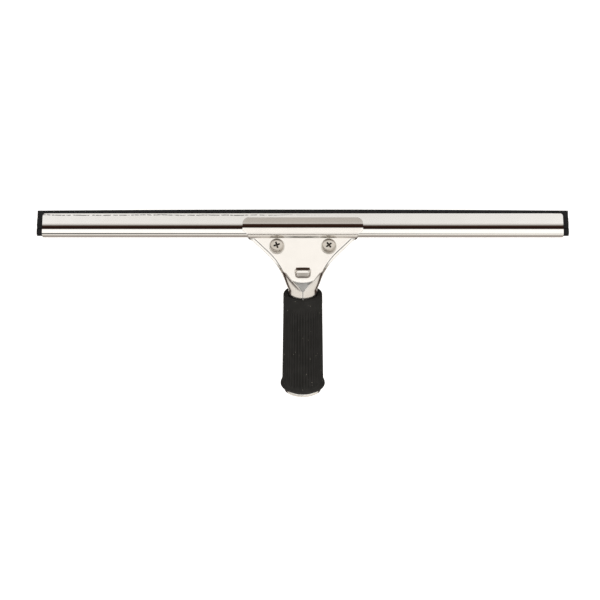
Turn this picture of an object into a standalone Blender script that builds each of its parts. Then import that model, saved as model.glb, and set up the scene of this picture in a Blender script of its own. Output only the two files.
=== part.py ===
"""Hand squeegee for windows.

A pressed steel handle carries a rubber grip and the rear jaw. A clamp plate with the front jaw is
screwed to it, and the two jaws hold a steel channel with a rubber blade in it.

Frame: metres, +Z up along the handle, +X along the blade, and the screws face -Y. The origin is on
the handle's axis, in the mouth of the pole socket. The head leans back from the handle, so its
pieces are modelled in a frame of their own: there +Z runs up the head from the back of the channel
and -Y is the way the screws face.
"""

import math

import bmesh
import bpy
from mathutils import Matrix, Vector

MM = 0.001

# Shared by every piece
FIT_GAP = 0.3 * MM  # between pieces that touch on the real tool
SHEET = 1.5 * MM  # steel of the handle and of the clamp plate

# Pole socket: a tapered tube, rolled from the handle's sheet
TUBE_R_LOW = 13.0 * MM  # outer radius just above the flare
TUBE_R_TOP = 11.15 * MM  # outer radius where the back wall starts to bend
TUBE_LENGTH = 83.5 * MM
FLARE_R = 14.6 * MM
FLARE_LIP = 1.0 * MM  # straight end of the flare
FLARE_HEIGHT = 3.4 * MM
SEAM_GAP = 0.5 * MM

# Neck: where the tube opens into a tray and leans back
LEAN = math.radians(38)
BEND_R = 12.0 * MM  # at the middle of the sheet
ROLL_OPENS = math.radians(10)  # how far round the bend the seam ends
ROLL_OPEN_LEVEL = -25.0 * MM  # from here up, the flanges stand straight
NECK_LENGTH = 30.6 * MM  # from the end of the bend to the back of the channel
NECK_DEPTH = 10.0 * MM  # of the side flanges at the end of the bend
TRAY_DEPTH = 4.9 * MM  # side flange, from the middle of the back wall
TRAY_LEVEL = -19.0 * MM  # the flange has this depth above here, and rises below it
FLANGE_TOP = -2.3 * MM

# Channel: the rolled steel section that holds the blade
CHANNEL_LENGTH = 400.0 * MM
CHANNEL_SHEET = 0.8 * MM
CHANNEL_HEIGHT = 18.0 * MM
BULB_HALF = 4.2 * MM  # outer half widths: the bulb, the waist over it, and the two flange ends
BULB_CORNER_R = 3.0 * MM
BULB_TOP = 5.6 * MM
WAIST_HALF = 3.0 * MM
WAIST_LEVEL = 7.2 * MM
FLANGE_HALF_LOW = 3.9 * MM
FLANGE_LOW = 8.9 * MM
FLANGE_HALF_TOP = 2.9 * MM
FOLD_R = 1.0 * MM  # at the middle of the sheet, above and below the waist
WAIST_R = 1.6 * MM

# Blade
BLADE_OVERHANG = 4.3 * MM  # past each end of the channel
LIP_HEIGHT = 2.2 * MM  # out of the channel, at its ends
LIP_CROWN = 0.9 * MM  # more than that in the middle
LIP_HALF = 1.3 * MM
BLADE_STEP = 14.3 * MM  # where the body steps in to the lip
STEP_HEIGHT = 0.4 * MM

# Jaws and clamp plate
PLATE_GAP = 3.0 * MM  # between the handle's back wall and the clamp plate
JAW_HALF = 46.2 * MM
JAW_TOP = 14.2 * MM
JAW_CORNER_R = 5.0 * MM
JAW_SHOULDER = 4.5 * MM  # where the jaw's sides start to slope in
JAW_TOE_ANGLE = math.radians(30)  # of the ledge that carries the channel
JAW_TOE_R = 0.2 * MM  # inside the bend
CREASE_R = 0.2 * MM  # inside the bend, where the jaws dip into the channel's waist
JAW_CREASE_GAP = 0.2 * MM  # more than elsewhere, because that bend is the sharper one
SHOULDER_ANGLE = math.radians(46.4)
SIDE_R = 52.8 * MM  # the hollow curve of the plates' sides
PLATE_BOTTOM = -36.4 * MM
PLATE_BOTTOM_R = 20.3 * MM
PLATE_BOTTOM_CORNER_R = 4.5 * MM
TRAY_CLEARANCE = 0.5 * MM  # between the clamp plate and the flanges round it
SHOULDER_RISE = 0.5 * MM  # over which the clamp plate widens to its jaw
FOOT_LEVEL = -28.6 * MM  # the pressed foot, on which the clamp plate rocks
FOOT_LENGTH = 14.8 * MM
FOOT_HEIGHT = 9.0 * MM
FOOT_WALL = 0.8 * MM
FOOT_DRAFT = 1.2 * MM

# Fasteners, M6
SCREW_SPACING = 39.8 * MM
SCREW_DROP = 7.95 * MM  # below the back of the channel
THREAD_R = 3.0 * MM
HEAD_R = 5.4 * MM
HEAD_HEIGHT = 3.6 * MM
HEAD_ROUND = 2.2 * MM
RECESS_WIDTH = 5.2 * MM
RECESS_SLOT = 1.15 * MM
RECESS_DEPTH = 2.2 * MM
SCREW_TIP = 1.2 * MM  # past the nut
WASHER_R = 6.0 * MM
WASHER_THICKNESS = 1.0 * MM
HOLE_CLEARANCE = 0.45 * MM  # round a screw's thread, in the clamp plate
NUT_R = 5.2 * MM
NUT_HEIGHT = 3.4 * MM
NUT_BARREL_R = 4.1 * MM

# Grip
GRIP_BOTTOM = 3.8 * MM
GRIP_TOP = 83.3 * MM
GRIP_R_TOP = 14.85 * MM
GRIP_R_LOW = 16.2 * MM
GRIP_LIP_R = 17.4 * MM
GRIP_LIP_HEIGHT = 5.2 * MM
GRIP_ROUND = 1.2 * MM

# How finely round shapes are cut
ROUND_STEPS = 40
ARC_STEPS = 3
WALL_STEPS = 6  # of half the handle's back wall, up to its corner
FLANGE_STEPS = 11
CLAMP_HALF_STEPS = 10

# Places that follow from the sizes above
MID = SHEET / 2
BACK_WALL = PLATE_GAP / 2 + MID  # middle of either plate, from the middle of the channel
FRONT_FACE = PLATE_GAP / 2 + SHEET
TRAY_INSET = SHEET + TRAY_CLEARANCE
CLAMP_SHOULDER = FLANGE_TOP + 2 * TRAY_CLEARANCE  # above it, the clamp plate clears the tray
BLADE_LENGTH = CHANNEL_LENGTH + 2 * BLADE_OVERHANG


# ---------------------------------------------------------------- scene, objects and materials


def clear_scene():
    for obj in list(bpy.data.objects):
        bpy.data.objects.remove(obj)


def new_collection(name):
    made = bpy.data.collections.new(name)
    bpy.context.scene.collection.children.link(made)
    return made


def new_material(name, colour, roughness, metallic):
    made = bpy.data.materials.new(name)
    made.use_nodes = True
    shader = made.node_tree.nodes["Principled BSDF"]
    shader.inputs["Base Color"].default_value = (*colour, 1.0)
    shader.inputs["Roughness"].default_value = roughness
    shader.inputs["Metallic"].default_value = metallic
    return made


def new_object(name, mesh, collection, material=None, parent=None):
    obj = bpy.data.objects.new(name, mesh)
    collection.objects.link(obj)
    obj.parent = parent
    if material:
        mesh.materials.append(material)
    return obj


def new_cutter(name, mesh, parent):
    obj = new_object(name, mesh, CUTTERS, parent=parent)
    obj.hide_render = True
    obj.display_type = "WIRE"
    return obj


def set_origin(obj, point):
    """Moves the object's origin to a point of its parent's frame and leaves its shape where it is."""
    obj.data.transform(Matrix.Translation(-Vector(point)))
    obj.location = point


def solidify(obj, thickness):
    modifier = obj.modifiers.new("sheet", "SOLIDIFY")
    modifier.thickness = thickness
    modifier.offset = 0
    modifier.use_even_offset = True


def boolean(obj, other, operation):
    modifier = obj.modifiers.new(f"{operation.lower()} {other.name}", "BOOLEAN")
    modifier.object = other
    modifier.operation = operation


def smooth(mesh):
    mesh.shade_smooth()
    mesh.set_sharp_from_angle(angle=math.radians(35))


# ---------------------------------------------------------------- outlines and surfaces


def mix(a, b, share):
    return a + (b - a) * share


def rounded(points, radii, steps=ARC_STEPS):
    """The path with an arc at each inner corner, of its own radius, drawn as steps straight pieces.
    Two arcs that would meet on a short straight run share it out between them."""
    points = [Vector(point) for point in points]
    halves = [
        (before - corner).angle(after - corner) / 2
        for before, corner, after in zip(points, points[1:], points[2:])
    ]
    reaches = [0, *(radius / math.tan(half) for radius, half in zip(radii, halves)), 0]
    runs = [(b - a).length for a, b in zip(points, points[1:])]
    shares = [min(1, 0.98 * run / (a + b)) for run, a, b in zip(runs, reaches, reaches[1:])]
    path = [points[0]]
    for i, half in enumerate(halves, start=1):
        back = (points[i - 1] - points[i]).normalized()
        ahead = (points[i + 1] - points[i]).normalized()
        reach = reaches[i] * min(shares[i - 1], shares[i])
        centre = points[i] + (back + ahead).normalized() * (reach / math.cos(half))
        start = points[i] + back * reach - centre
        sweep = start.angle_signed(points[i] + ahead * reach - centre)
        for step in range(steps + 1):
            turned = start.copy()
            turned.rotate(Matrix.Rotation(-sweep * step / steps, 2))
            path.append(centre + turned)
    return path + [points[-1]]


def offset(corners, distance):
    """The inner corners of a path moved square to its straight runs, to the right of its direction."""
    moved = []
    for before, corner, after in zip(corners, corners[1:], corners[2:]):
        come = (Vector(corner) - Vector(before)).normalized()
        leave = (Vector(after) - Vector(corner)).normalized()
        middle = (come + leave).normalized()
        outward = Vector((middle.y, -middle.x))
        moved.append(Vector(corner) + outward * distance / outward.dot(Vector((come.y, -come.x))))
    return moved


def at_level(path, level):
    """Where a path of (depth, level) points passes a level."""
    for low, high in zip(path, path[1:]):
        if low[1] <= level <= high[1]:
            return mix(low[0], high[0], (level - low[1]) / (high[1] - low[1]))
    return path[0][0] if level < path[0][1] else path[-1][0]


def mirrored(path):
    """A path of (depth, level) points and its reflection, as one run from side to side."""
    return [Vector((-x, y)) for x, y in reversed(path)] + [Vector(p) for p in path]


def strip(name, path, length):
    """An open surface: the path of (depth towards -Y, level) points, drawn out along X."""
    mesh = bpy.data.meshes.new(name)
    rows = [[(x, -depth, level) for depth, level in path] for x in (-length / 2, length / 2)]
    return grid_mesh(mesh, rows)


def grid_mesh(mesh, rows):
    """A surface through rows of points. Where one row is shorter than the next it stands in the
    middle of it, and the longer row's ends stay free."""
    points, faces, below = [], [], []
    for row in rows:
        indices = list(range(len(points), len(points) + len(row)))
        points += row
        spare = (len(below) - len(indices)) // 2
        low = below[max(spare, 0) : len(below) - max(spare, 0)]
        high = indices[max(-spare, 0) : len(indices) - max(-spare, 0)]
        faces += list(zip(low, low[1:], high[1:], high))
        below = indices
    mesh.from_pydata(points, [], faces)
    return mesh


def prism(name, outline, front, back, draft=0.0):
    """A solid whose (x, level) outline runs from depth front to depth back, where it is smaller
    by draft on every side."""
    mesh = bpy.data.meshes.new(name)
    shape = bmesh.new()
    base = shape.faces.new([shape.verts.new((x, -front, level)) for x, level in outline])
    extruded = bmesh.ops.extrude_face_region(shape, geom=[base])["geom"]
    moved = [item for item in extruded if isinstance(item, bmesh.types.BMVert)]
    centre = sum((vert.co for vert in moved), Vector()) / len(moved)
    half_x = max(abs(vert.co.x - centre.x) for vert in moved)
    half_z = max(abs(vert.co.z - centre.z) for vert in moved)
    for vert in moved:
        vert.co.x = centre.x + (vert.co.x - centre.x) * (1 - draft / half_x)
        vert.co.z = centre.z + (vert.co.z - centre.z) * (1 - draft / half_z)
        vert.co.y = -back
    bmesh.ops.recalc_face_normals(shape, faces=shape.faces)
    shape.to_mesh(mesh)
    shape.free()
    return mesh


def stadium(length, height, level, steps=8):
    """The (x, level) outline of a slot with round ends."""
    radius = height / 2
    outline = []
    for side in (1, -1):
        for step in range(steps + 1):
            angle = math.pi * (step / steps - 0.5)
            x = side * (length / 2 - radius + radius * math.cos(angle))
            outline.append((x, level + side * radius * math.sin(angle)))
    return outline


def turned(name, profile, collection, material, parent):
    """A solid of revolution about the object's own Z: (radius, height) points down its outer side."""
    mesh = bpy.data.meshes.new(name)
    points = [(radius, 0, height) for radius, height in profile]
    closed = profile[0][0] > 0
    edges = [(i, i + 1) for i in range(len(points) - 1)]
    if closed:
        edges.append((len(points) - 1, 0))
    mesh.from_pydata(points, edges, [])
    obj = new_object(name, mesh, collection, material, parent)
    modifier = obj.modifiers.new("turn", "SCREW")
    modifier.steps = ROUND_STEPS
    modifier.render_steps = ROUND_STEPS
    modifier.use_merge_vertices = True
    modifier.merge_threshold = 0.00001
    return obj


# ---------------------------------------------------------------- the two plates' outline


SIDE_END = SHOULDER_ANGLE  # the side's curve has turned this far where the straight shoulder starts
SIDE_RISE = SIDE_R * math.sin(SIDE_END)
SIDE_OUT = SIDE_R * (1 - math.cos(SIDE_END))
SHOULDER_SLOPE = math.tan(SHOULDER_ANGLE)
SIDE_START = (
    JAW_SHOULDER - SIDE_RISE - (JAW_HALF - TUBE_R_TOP - SIDE_OUT) / SHOULDER_SLOPE
)  # level at which the side's curve would be upright


def plate_half_width(level, inset=0.0):
    """Half width of the handle's plate at a level, or of a plate that fits inside it by inset."""
    if level > JAW_TOP - JAW_CORNER_R and not inset:
        up = min(level - (JAW_TOP - JAW_CORNER_R), JAW_CORNER_R)
        return JAW_HALF - JAW_CORNER_R + math.sqrt(JAW_CORNER_R**2 - up**2)
    if level > JAW_SHOULDER:
        return JAW_HALF
    grown = SIDE_R + inset
    if level > SIDE_START + grown * math.sin(SIDE_END):
        shift = inset / math.cos(SHOULDER_ANGLE)
        return JAW_HALF - (JAW_SHOULDER - level) * SHOULDER_SLOPE - shift
    return TUBE_R_TOP + SIDE_R - math.sqrt(grown**2 - (level - SIDE_START) ** 2)


def jaw_path():
    """Middle line of a jaw's sheet, as (depth, level) points from the flat plate up to its lip.
    Under the channel it is a straight ledge, which runs into an arc round the bulb's corner."""
    off = CHANNEL_SHEET / 2 + FIT_GAP + MID
    centre = Vector((BULB_HALF - BULB_CORNER_R, BULB_CORNER_R))
    wrap_r = BULB_CORNER_R + FIT_GAP + MID

    def wrap(turn):
        return centre + wrap_r * Vector((math.sin(turn), -math.cos(turn)))

    meets = wrap(JAW_TOE_ANGLE)
    slope = Vector((1, math.tan(JAW_TOE_ANGLE)))
    toe = meets + slope * (BACK_WALL - meets.x)
    ledge = rounded([(BACK_WALL, -SCREW_DROP), toe, meets], [MID + JAW_TOE_R])
    turns = [mix(JAW_TOE_ANGLE, math.pi / 2, step / ARC_STEPS) for step in range(1, ARC_STEPS + 1)]

    _, bulb_top, _, flange_low = offset(channel_corners(), off)
    waist = offset(channel_corners(), off + JAW_CREASE_GAP)[2]
    top = channel_corners()[-1] + Vector((off, 0))
    lip = mix(flange_low, top, (JAW_TOP - flange_low.y) / (top.y - flange_low.y))
    radii = (FOLD_R + off, MID + CREASE_R, FOLD_R + off)
    upper = rounded([wrap(math.pi / 2), bulb_top, waist, flange_low, lip], radii)[1:]
    return ledge + [wrap(turn) for turn in turns] + upper


# ---------------------------------------------------------------- handle: tube, neck, tray and rear jaw


def tube_radius(z):
    """Outer radius of the tube at a height."""
    taper = mix(TUBE_R_LOW, TUBE_R_TOP, (z - FLARE_HEIGHT) / (TUBE_LENGTH - FLARE_HEIGHT))
    if z >= FLARE_HEIGHT:
        return taper
    share = (FLARE_HEIGHT - max(z, FLARE_LIP)) / (FLARE_HEIGHT - FLARE_LIP)
    return mix(TUBE_R_LOW, FLARE_R, share)


def handle_section(half_width, depth, roll, squareness):
    """Half of the bent sheet's section, as (x, forward) points from the middle of the back wall
    round its corner to the flange's edge. A roll of 180 degrees closes it into a tube; depth is half
    of what the closed section would measure front to back. The back half has that squareness, where
    2 is an ellipse, and the front half is an ellipse."""
    fine = []
    for step in range(481):
        angle = roll * step / 480
        cosine = math.cos(angle)
        power = 2 / squareness if cosine > 0 else 1
        x = half_width * math.sin(angle) ** power
        fine.append(Vector((x, depth * (1 - math.copysign(abs(cosine) ** power, cosine)))))
    corner = max(range(len(fine)), key=lambda i: fine[i].x - fine[i].y)
    wall = evenly_spaced(fine[: corner + 1], WALL_STEPS)
    return wall[:-1] + evenly_spaced(fine[corner:], FLANGE_STEPS)


def evenly_spaced(path, steps):
    """Points at equal distances along a path, with both its ends."""
    run = [0.0]
    for a, b in zip(path, path[1:]):
        run.append(run[-1] + (b - a).length)
    found, piece = [], 0
    for step in range(steps + 1):
        want = run[-1] * step / steps
        while piece < len(path) - 2 and run[piece + 1] < want:
            piece += 1
        share = (want - run[piece]) / max(run[piece + 1] - run[piece], 1e-12)
        found.append(path[piece].lerp(path[piece + 1], min(share, 1.0)))
    return found


def sheet_row(back, forward, half_section):
    """A whole row of points of the sheet: back is the (y, z) of the back wall and forward the
    (y, z) direction in which the flanges stand."""
    right = [(x, back + forward * out) for x, out in half_section]
    left = [(-x, point) for x, point in reversed(right[1:])]
    return [(x, point.x, point.y) for x, point in left + right]


def handle_rows():
    """Rows of the handle's sheet from the flared end of the tube up to the lip of the rear jaw."""
    rows = []
    closed = math.pi - math.asin(SEAM_GAP / 2 / (TUBE_R_TOP - MID))
    towards_front = Vector((-1, 0))
    for z in (0, FLARE_LIP, FLARE_HEIGHT, TUBE_LENGTH / 2, TUBE_LENGTH):
        radius = tube_radius(z) - MID
        section = handle_section(radius, radius, closed, 2)
        rows.append(sheet_row(Vector((radius, z)), towards_front, section))

    tube_mid = TUBE_R_TOP - MID
    bend_centre = Vector((tube_mid + BEND_R, TUBE_LENGTH))
    bend_half_width = plate_half_width(-NECK_LENGTH) - MID
    opening_bend = (LEAN - ROLL_OPENS) * BEND_R
    opening_length = opening_bend + NECK_LENGTH + ROLL_OPEN_LEVEL

    def roll_at(run):
        """The roll where the sheet's back wall has run this far past the end of the seam."""
        share = min(max(run / opening_length, 0), 1)
        return mix(closed, math.pi / 2, 1 - (1 - share) ** 1.8)

    bend_rows = 9
    for step in range(1, bend_rows + 1):
        turn = LEAN * step / bend_rows
        opened = max(0.0, (turn - ROLL_OPENS) / (LEAN - ROLL_OPENS))
        forward = Vector((-math.cos(turn), math.sin(turn)))
        section = handle_section(
            mix(tube_mid, bend_half_width, opened**0.85),
            mix(tube_mid / math.cos(turn), NECK_DEPTH, opened),
            roll_at((turn - ROLL_OPENS) * BEND_R),
            mix(2.0, 7.0, opened**0.6),
        )
        rows.append(sheet_row(bend_centre + forward * BEND_R, forward, section))

    up = Vector((math.sin(LEAN), math.cos(LEAN)))
    forward = Vector((-math.cos(LEAN), math.sin(LEAN)))
    bend_end = bend_centre + forward * BEND_R
    tray_rows = 11
    levels = [mix(-NECK_LENGTH, FLANGE_TOP, (i + 1) / tray_rows) for i in range(tray_rows)]
    for level in levels:
        low = max(0.0, (TRAY_LEVEL - level) / (TRAY_LEVEL + NECK_LENGTH))
        section = handle_section(
            plate_half_width(level) - MID,
            mix(TRAY_DEPTH, NECK_DEPTH, low**2),
            roll_at(opening_bend + NECK_LENGTH + level),
            mix(9.0, 7.0, low),
        )
        rows.append(sheet_row(bend_end + up * (level + NECK_LENGTH), forward, section))

    jaw = jaw_path()
    channel_back = bend_end + up * NECK_LENGTH + forward * BACK_WALL
    for level in [level for level in jaw_levels() if level > FLANGE_TOP]:
        half_width = plate_half_width(level)
        flat = [Vector((half_width * i / WALL_STEPS, 0)) for i in range(WALL_STEPS + 1)]
        back = channel_back + up * level - forward * at_level(jaw, level)
        rows.append(sheet_row(back, forward, flat))
    return rows


def head_place():
    """(y, z) of the head frame's origin: the back of the channel, midway between the jaws."""
    forward = Vector((-math.cos(LEAN), math.sin(LEAN)))
    up = Vector((math.sin(LEAN), math.cos(LEAN)))
    bend_centre = Vector((TUBE_R_TOP - MID + BEND_R, TUBE_LENGTH))
    return bend_centre + forward * (BEND_R + BACK_WALL) + up * NECK_LENGTH


def make_handle(head):
    mesh = grid_mesh(bpy.data.meshes.new("handle_body"), handle_rows())
    smooth(mesh)
    handle = new_object("handle_body", mesh, PARTS, STEEL)
    solidify(handle, SHEET)
    for side, x in SCREW_SIDES:
        hole = round_cutter(f"nut_hole_{side}", NUT_BARREL_R + FIT_GAP, x, head)
        boolean(handle, hole, "DIFFERENCE")
    return handle


def round_cutter(name, radius, x, head):
    """A cylinder through both plates on a screw's axis."""
    shape = bmesh.new()
    bmesh.ops.create_cone(
        shape,
        cap_ends=True,
        segments=ROUND_STEPS,
        radius1=radius,
        radius2=radius,
        depth=20 * MM,
        matrix=Matrix.Rotation(math.pi / 2, 4, "X"),
    )
    mesh = bpy.data.meshes.new(name)
    shape.to_mesh(mesh)
    shape.free()
    cutter = new_cutter(name, mesh, head)
    cutter.location = (x, 0, -SCREW_DROP)
    return cutter


# ---------------------------------------------------------------- clamp plate


def bottom_arc(x):
    """The clamp plate's bottom edge."""
    return Vector((x, PLATE_BOTTOM + PLATE_BOTTOM_R - math.sqrt(PLATE_BOTTOM_R**2 - x**2)))


def bottom_corner():
    """Where the clamp plate's bottom arc meets its side."""
    corner = bottom_arc(0)
    for _ in range(30):
        corner = bottom_arc(plate_half_width(corner.y, TRAY_INSET))
    return corner


def jaw_corner_levels():
    """Levels of the rows round a jaw's top corners, from below them up to the lip."""
    return [
        JAW_TOP - JAW_CORNER_R * (1 - math.sin(math.radians(turn))) for turn in (0, 25, 48, 68, 90)
    ]


def jaw_levels():
    """Levels of the rows of a jaw, at each bend of its section and round its corners."""
    bends = [point.y for point in jaw_path()[1:-1]]
    return sorted([JAW_SHOULDER] + bends + jaw_corner_levels())


def clamp_row(end, sag):
    """A row of the clamp plate that ends at (x, level) and dips by sag in the middle."""
    depth_of = jaw_path()
    row = []
    for step in range(-CLAMP_HALF_STEPS, CLAMP_HALF_STEPS + 1):
        share = step / CLAMP_HALF_STEPS
        level = end.y - sag * (1 - share**2)
        row.append((end.x * share, -at_level(depth_of, level), level))
    return row


def clamp_rows():
    """The clamp plate: its bottom corner, its side inside the tray, and its jaw."""
    corner = bottom_corner()
    side_end = corner.y + PLATE_BOTTOM_CORNER_R
    lowest = bottom_arc(corner.x - PLATE_BOTTOM_CORNER_R)
    side = Vector((plate_half_width(side_end, TRAY_INSET), side_end))
    ends = rounded([lowest, corner, side], [PLATE_BOTTOM_CORNER_R])
    rise = CLAMP_SHOULDER - side_end
    steps = 9
    for step in range(1, steps + 1):
        level = side_end + rise * step / steps
        ends.append(Vector((plate_half_width(level, TRAY_INSET), level)))
    dips = len(ends)
    sag = lowest.y - PLATE_BOTTOM
    rows = [clamp_row(end, sag * (1 - i / (dips - 1))) for i, end in enumerate(ends)]
    jaw_start = CLAMP_SHOULDER + SHOULDER_RISE
    levels = [jaw_start] + [level for level in jaw_levels() if level > jaw_start]
    return rows + [clamp_row(Vector((plate_half_width(level), level)), 0) for level in levels]


def make_clamp_plate(head):
    mesh = grid_mesh(bpy.data.meshes.new("clamp_plate"), clamp_rows())
    smooth(mesh)
    clamp = new_object("clamp_plate", mesh, PARTS, STEEL, head)
    solidify(clamp, SHEET)
    foot_back = -(PLATE_GAP / 2 - FIT_GAP)
    foot = stadium(FOOT_LENGTH, FOOT_HEIGHT, FOOT_LEVEL)
    foot_mesh = prism("foot", foot, FRONT_FACE - MID, foot_back, FOOT_DRAFT)
    boolean(clamp, new_cutter("foot", foot_mesh, head), "UNION")
    hollow = stadium(FOOT_LENGTH - 2 * FOOT_WALL, FOOT_HEIGHT - 2 * FOOT_WALL, FOOT_LEVEL)
    hollow_mesh = prism("foot_hollow", hollow, FRONT_FACE + MID, foot_back + SHEET, FOOT_DRAFT)
    boolean(clamp, new_cutter("foot_hollow", hollow_mesh, head), "DIFFERENCE")
    for side, x in SCREW_SIDES:
        hole = round_cutter(f"screw_hole_{side}", THREAD_R + HOLE_CLEARANCE, x, head)
        boolean(clamp, hole, "DIFFERENCE")
    set_origin(clamp, (0, -foot_back, FOOT_LEVEL))
    return clamp


# ---------------------------------------------------------------- channel and blade


def channel_corners():
    """Corners of the middle line of half the channel's sheet, from the middle of its back to a lip."""
    half = CHANNEL_SHEET / 2
    return [
        Vector((0, half)),
        Vector((BULB_HALF - half, half)),
        Vector((BULB_HALF - half, BULB_TOP)),
        Vector((WAIST_HALF - half, WAIST_LEVEL)),
        Vector((FLANGE_HALF_LOW - half, FLANGE_LOW)),
        Vector((FLANGE_HALF_TOP - half, CHANNEL_HEIGHT)),
    ]


def make_channel(head):
    radii = (BULB_CORNER_R - CHANNEL_SHEET / 2, FOLD_R, WAIST_R, FOLD_R)
    half = rounded(channel_corners(), radii)[1:]
    mesh = strip("channel", mirrored(half), CHANNEL_LENGTH)
    smooth(mesh)
    channel = new_object("channel", mesh, PARTS, STEEL, head)
    solidify(channel, CHANNEL_SHEET)
    return channel


def blade_outline(tip):
    """Closed (depth, level) outline of the blade's section, with its lip's edge at level tip."""
    inward = CHANNEL_SHEET / 2 + FIT_GAP
    base, bulb_top, waist, body = offset(channel_corners(), -inward)
    mouth = channel_corners()[-1] - Vector((inward, 0))
    step = mix(body, mouth, (BLADE_STEP - body.y) / (mouth.y - body.y))
    corners = [Vector((0, base.y)), base, bulb_top, waist, body, step]
    bulb_r = BULB_CORNER_R - CHANNEL_SHEET / 2 - inward
    half = rounded(corners, (bulb_r, FOLD_R - inward, WAIST_R + inward, FOLD_R - inward), 2)[1:]
    half += [Vector((LIP_HALF, BLADE_STEP + STEP_HEIGHT)), Vector((LIP_HALF, tip))]
    return half + [Vector((-point.x, point.y)) for point in reversed(half)]


def make_blade(head):
    """Rows of the section along X, higher in the middle, closed by a cap at each end."""
    stations = 11  # odd, so that the middle of the lip is flat
    rows = []
    for step in range(stations + 1):
        share = 2 * step / stations - 1
        tip = CHANNEL_HEIGHT + LIP_HEIGHT + LIP_CROWN * (1 - share**2)
        x = share * BLADE_LENGTH / 2
        outline = [(x, -depth, level) for depth, level in blade_outline(tip)]
        rows.append(outline + outline[:1])
    mesh = grid_mesh(bpy.data.meshes.new("rubber_blade"), rows)
    shape = bmesh.new()
    shape.from_mesh(mesh)
    bmesh.ops.remove_doubles(shape, verts=shape.verts, dist=0.01 * MM)
    bmesh.ops.holes_fill(shape, edges=shape.edges)
    bmesh.ops.recalc_face_normals(shape, faces=shape.faces)
    shape.to_mesh(mesh)
    shape.free()
    return new_object("rubber_blade", mesh, PARTS, RUBBER, head)


# ---------------------------------------------------------------- fasteners


def fastener_origin(x):
    return (x, 0, -SCREW_DROP)


def face_out(obj, x):
    """Sets a turned piece on a screw's axis, its own +Z pointing the way the screws face."""
    obj.location = fastener_origin(x)
    obj.rotation_euler.x = math.pi / 2


def make_washer(side, x, head):
    low = FRONT_FACE + FIT_GAP
    high = low + WASHER_THICKNESS
    bore = THREAD_R + FIT_GAP
    profile = [(bore, high), (WASHER_R, high), (WASHER_R, low), (bore, low)]
    face_out(turned(f"washer_{side}", profile, PARTS, STEEL, head), x)


def make_nut(side, x, head):
    seat = -(FRONT_FACE + FIT_GAP)
    bore = THREAD_R + FIT_GAP
    profile = [
        (bore, -PLATE_GAP / 2),
        (NUT_BARREL_R, -PLATE_GAP / 2),
        (NUT_BARREL_R, seat),
        (NUT_R, seat),
        (NUT_R, seat - NUT_HEIGHT),
        (bore, seat - NUT_HEIGHT),
    ]
    face_out(turned(f"clinch_nut_{side}", profile, PARTS, STEEL, head), x)


def recess_cutter(name, x, top, head, turn):
    """The cross of a screw's recess."""
    shape = bmesh.new()
    for angle in (0, math.pi / 2):
        size = (RECESS_WIDTH, RECESS_SLOT, 2 * RECESS_DEPTH)
        bmesh.ops.create_cube(
            shape, size=1, matrix=Matrix.Rotation(angle + turn, 4, "Z") @ Matrix.Diagonal((*size, 1))
        )
    mesh = bpy.data.meshes.new(name)
    shape.to_mesh(mesh)
    shape.free()
    cutter = new_cutter(name, mesh, head)
    cutter.location = (x, -top, -SCREW_DROP)
    cutter.rotation_euler.x = math.pi / 2
    return cutter


def make_screw(side, x, head, turn):
    under = FRONT_FACE + WASHER_THICKNESS + 2 * FIT_GAP
    top = under + HEAD_HEIGHT
    tip = -(FRONT_FACE + FIT_GAP + NUT_HEIGHT + SCREW_TIP)
    dome = [
        (HEAD_R - HEAD_ROUND * (1 - math.sin(a)), top - HEAD_ROUND * (1 - math.cos(a)))
        for a in (math.radians(turn_step) for turn_step in (0, 30, 60, 90))
    ]
    profile = [(0, top), *dome, (HEAD_R, under), (THREAD_R, under), (THREAD_R, tip), (0, tip)]
    screw = turned(f"clamp_screw_{side}", profile, PARTS, STEEL, head)
    face_out(screw, x)
    cutter = recess_cutter(f"recess_{side}", x, top, head, turn)
    modifier = screw.modifiers.new("recess", "BOOLEAN")
    modifier.object = cutter
    modifier.use_self = True


# ---------------------------------------------------------------- grip


def make_grip():
    inner_low = tube_radius(GRIP_BOTTOM) + FIT_GAP
    inner_top = tube_radius(GRIP_TOP) + FIT_GAP
    lip_top = GRIP_BOTTOM + GRIP_LIP_HEIGHT
    profile = [
        (inner_top, GRIP_TOP),
        (GRIP_R_TOP - GRIP_ROUND, GRIP_TOP),
        (GRIP_R_TOP - 0.3 * GRIP_ROUND, GRIP_TOP - 0.3 * GRIP_ROUND),
        (GRIP_R_TOP, GRIP_TOP - GRIP_ROUND),
        (GRIP_R_LOW, lip_top),
        (GRIP_LIP_R, GRIP_BOTTOM + 2.2 * MM),
        (GRIP_LIP_R, GRIP_BOTTOM + GRIP_ROUND),
        (GRIP_LIP_R - 0.3 * GRIP_ROUND, GRIP_BOTTOM + 0.3 * GRIP_ROUND),
        (GRIP_LIP_R - GRIP_ROUND, GRIP_BOTTOM),
        (inner_low, GRIP_BOTTOM),
    ]
    turned("grip_sleeve", profile, PARTS, RUBBER, None)


# ---------------------------------------------------------------- the whole tool


SCREW_SIDES = (("left", -SCREW_SPACING / 2), ("right", SCREW_SPACING / 2))
SCREW_TURNS = {"left": math.radians(18), "right": math.radians(38)}

clear_scene()
PARTS = new_collection("window_squeegee")
CUTTERS = new_collection("cutters")
STEEL = new_material("stainless_steel", (0.78, 0.77, 0.75), 0.22, 1.0)
RUBBER = new_material("black_rubber", (0.02, 0.02, 0.02), 0.6, 0.0)

head_frame = bpy.data.objects.new("head_frame", None)
CUTTERS.objects.link(head_frame)
head_frame.location = (0, *head_place())
head_frame.rotation_euler.x = -LEAN

make_handle(head_frame)
make_clamp_plate(head_frame)
make_grip()
make_channel(head_frame)
make_blade(head_frame)
for screw_side, screw_x in SCREW_SIDES:
    make_nut(screw_side, screw_x, head_frame)
    make_washer(screw_side, screw_x, head_frame)
    make_screw(screw_side, screw_x, head_frame, SCREW_TURNS[screw_side])
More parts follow.
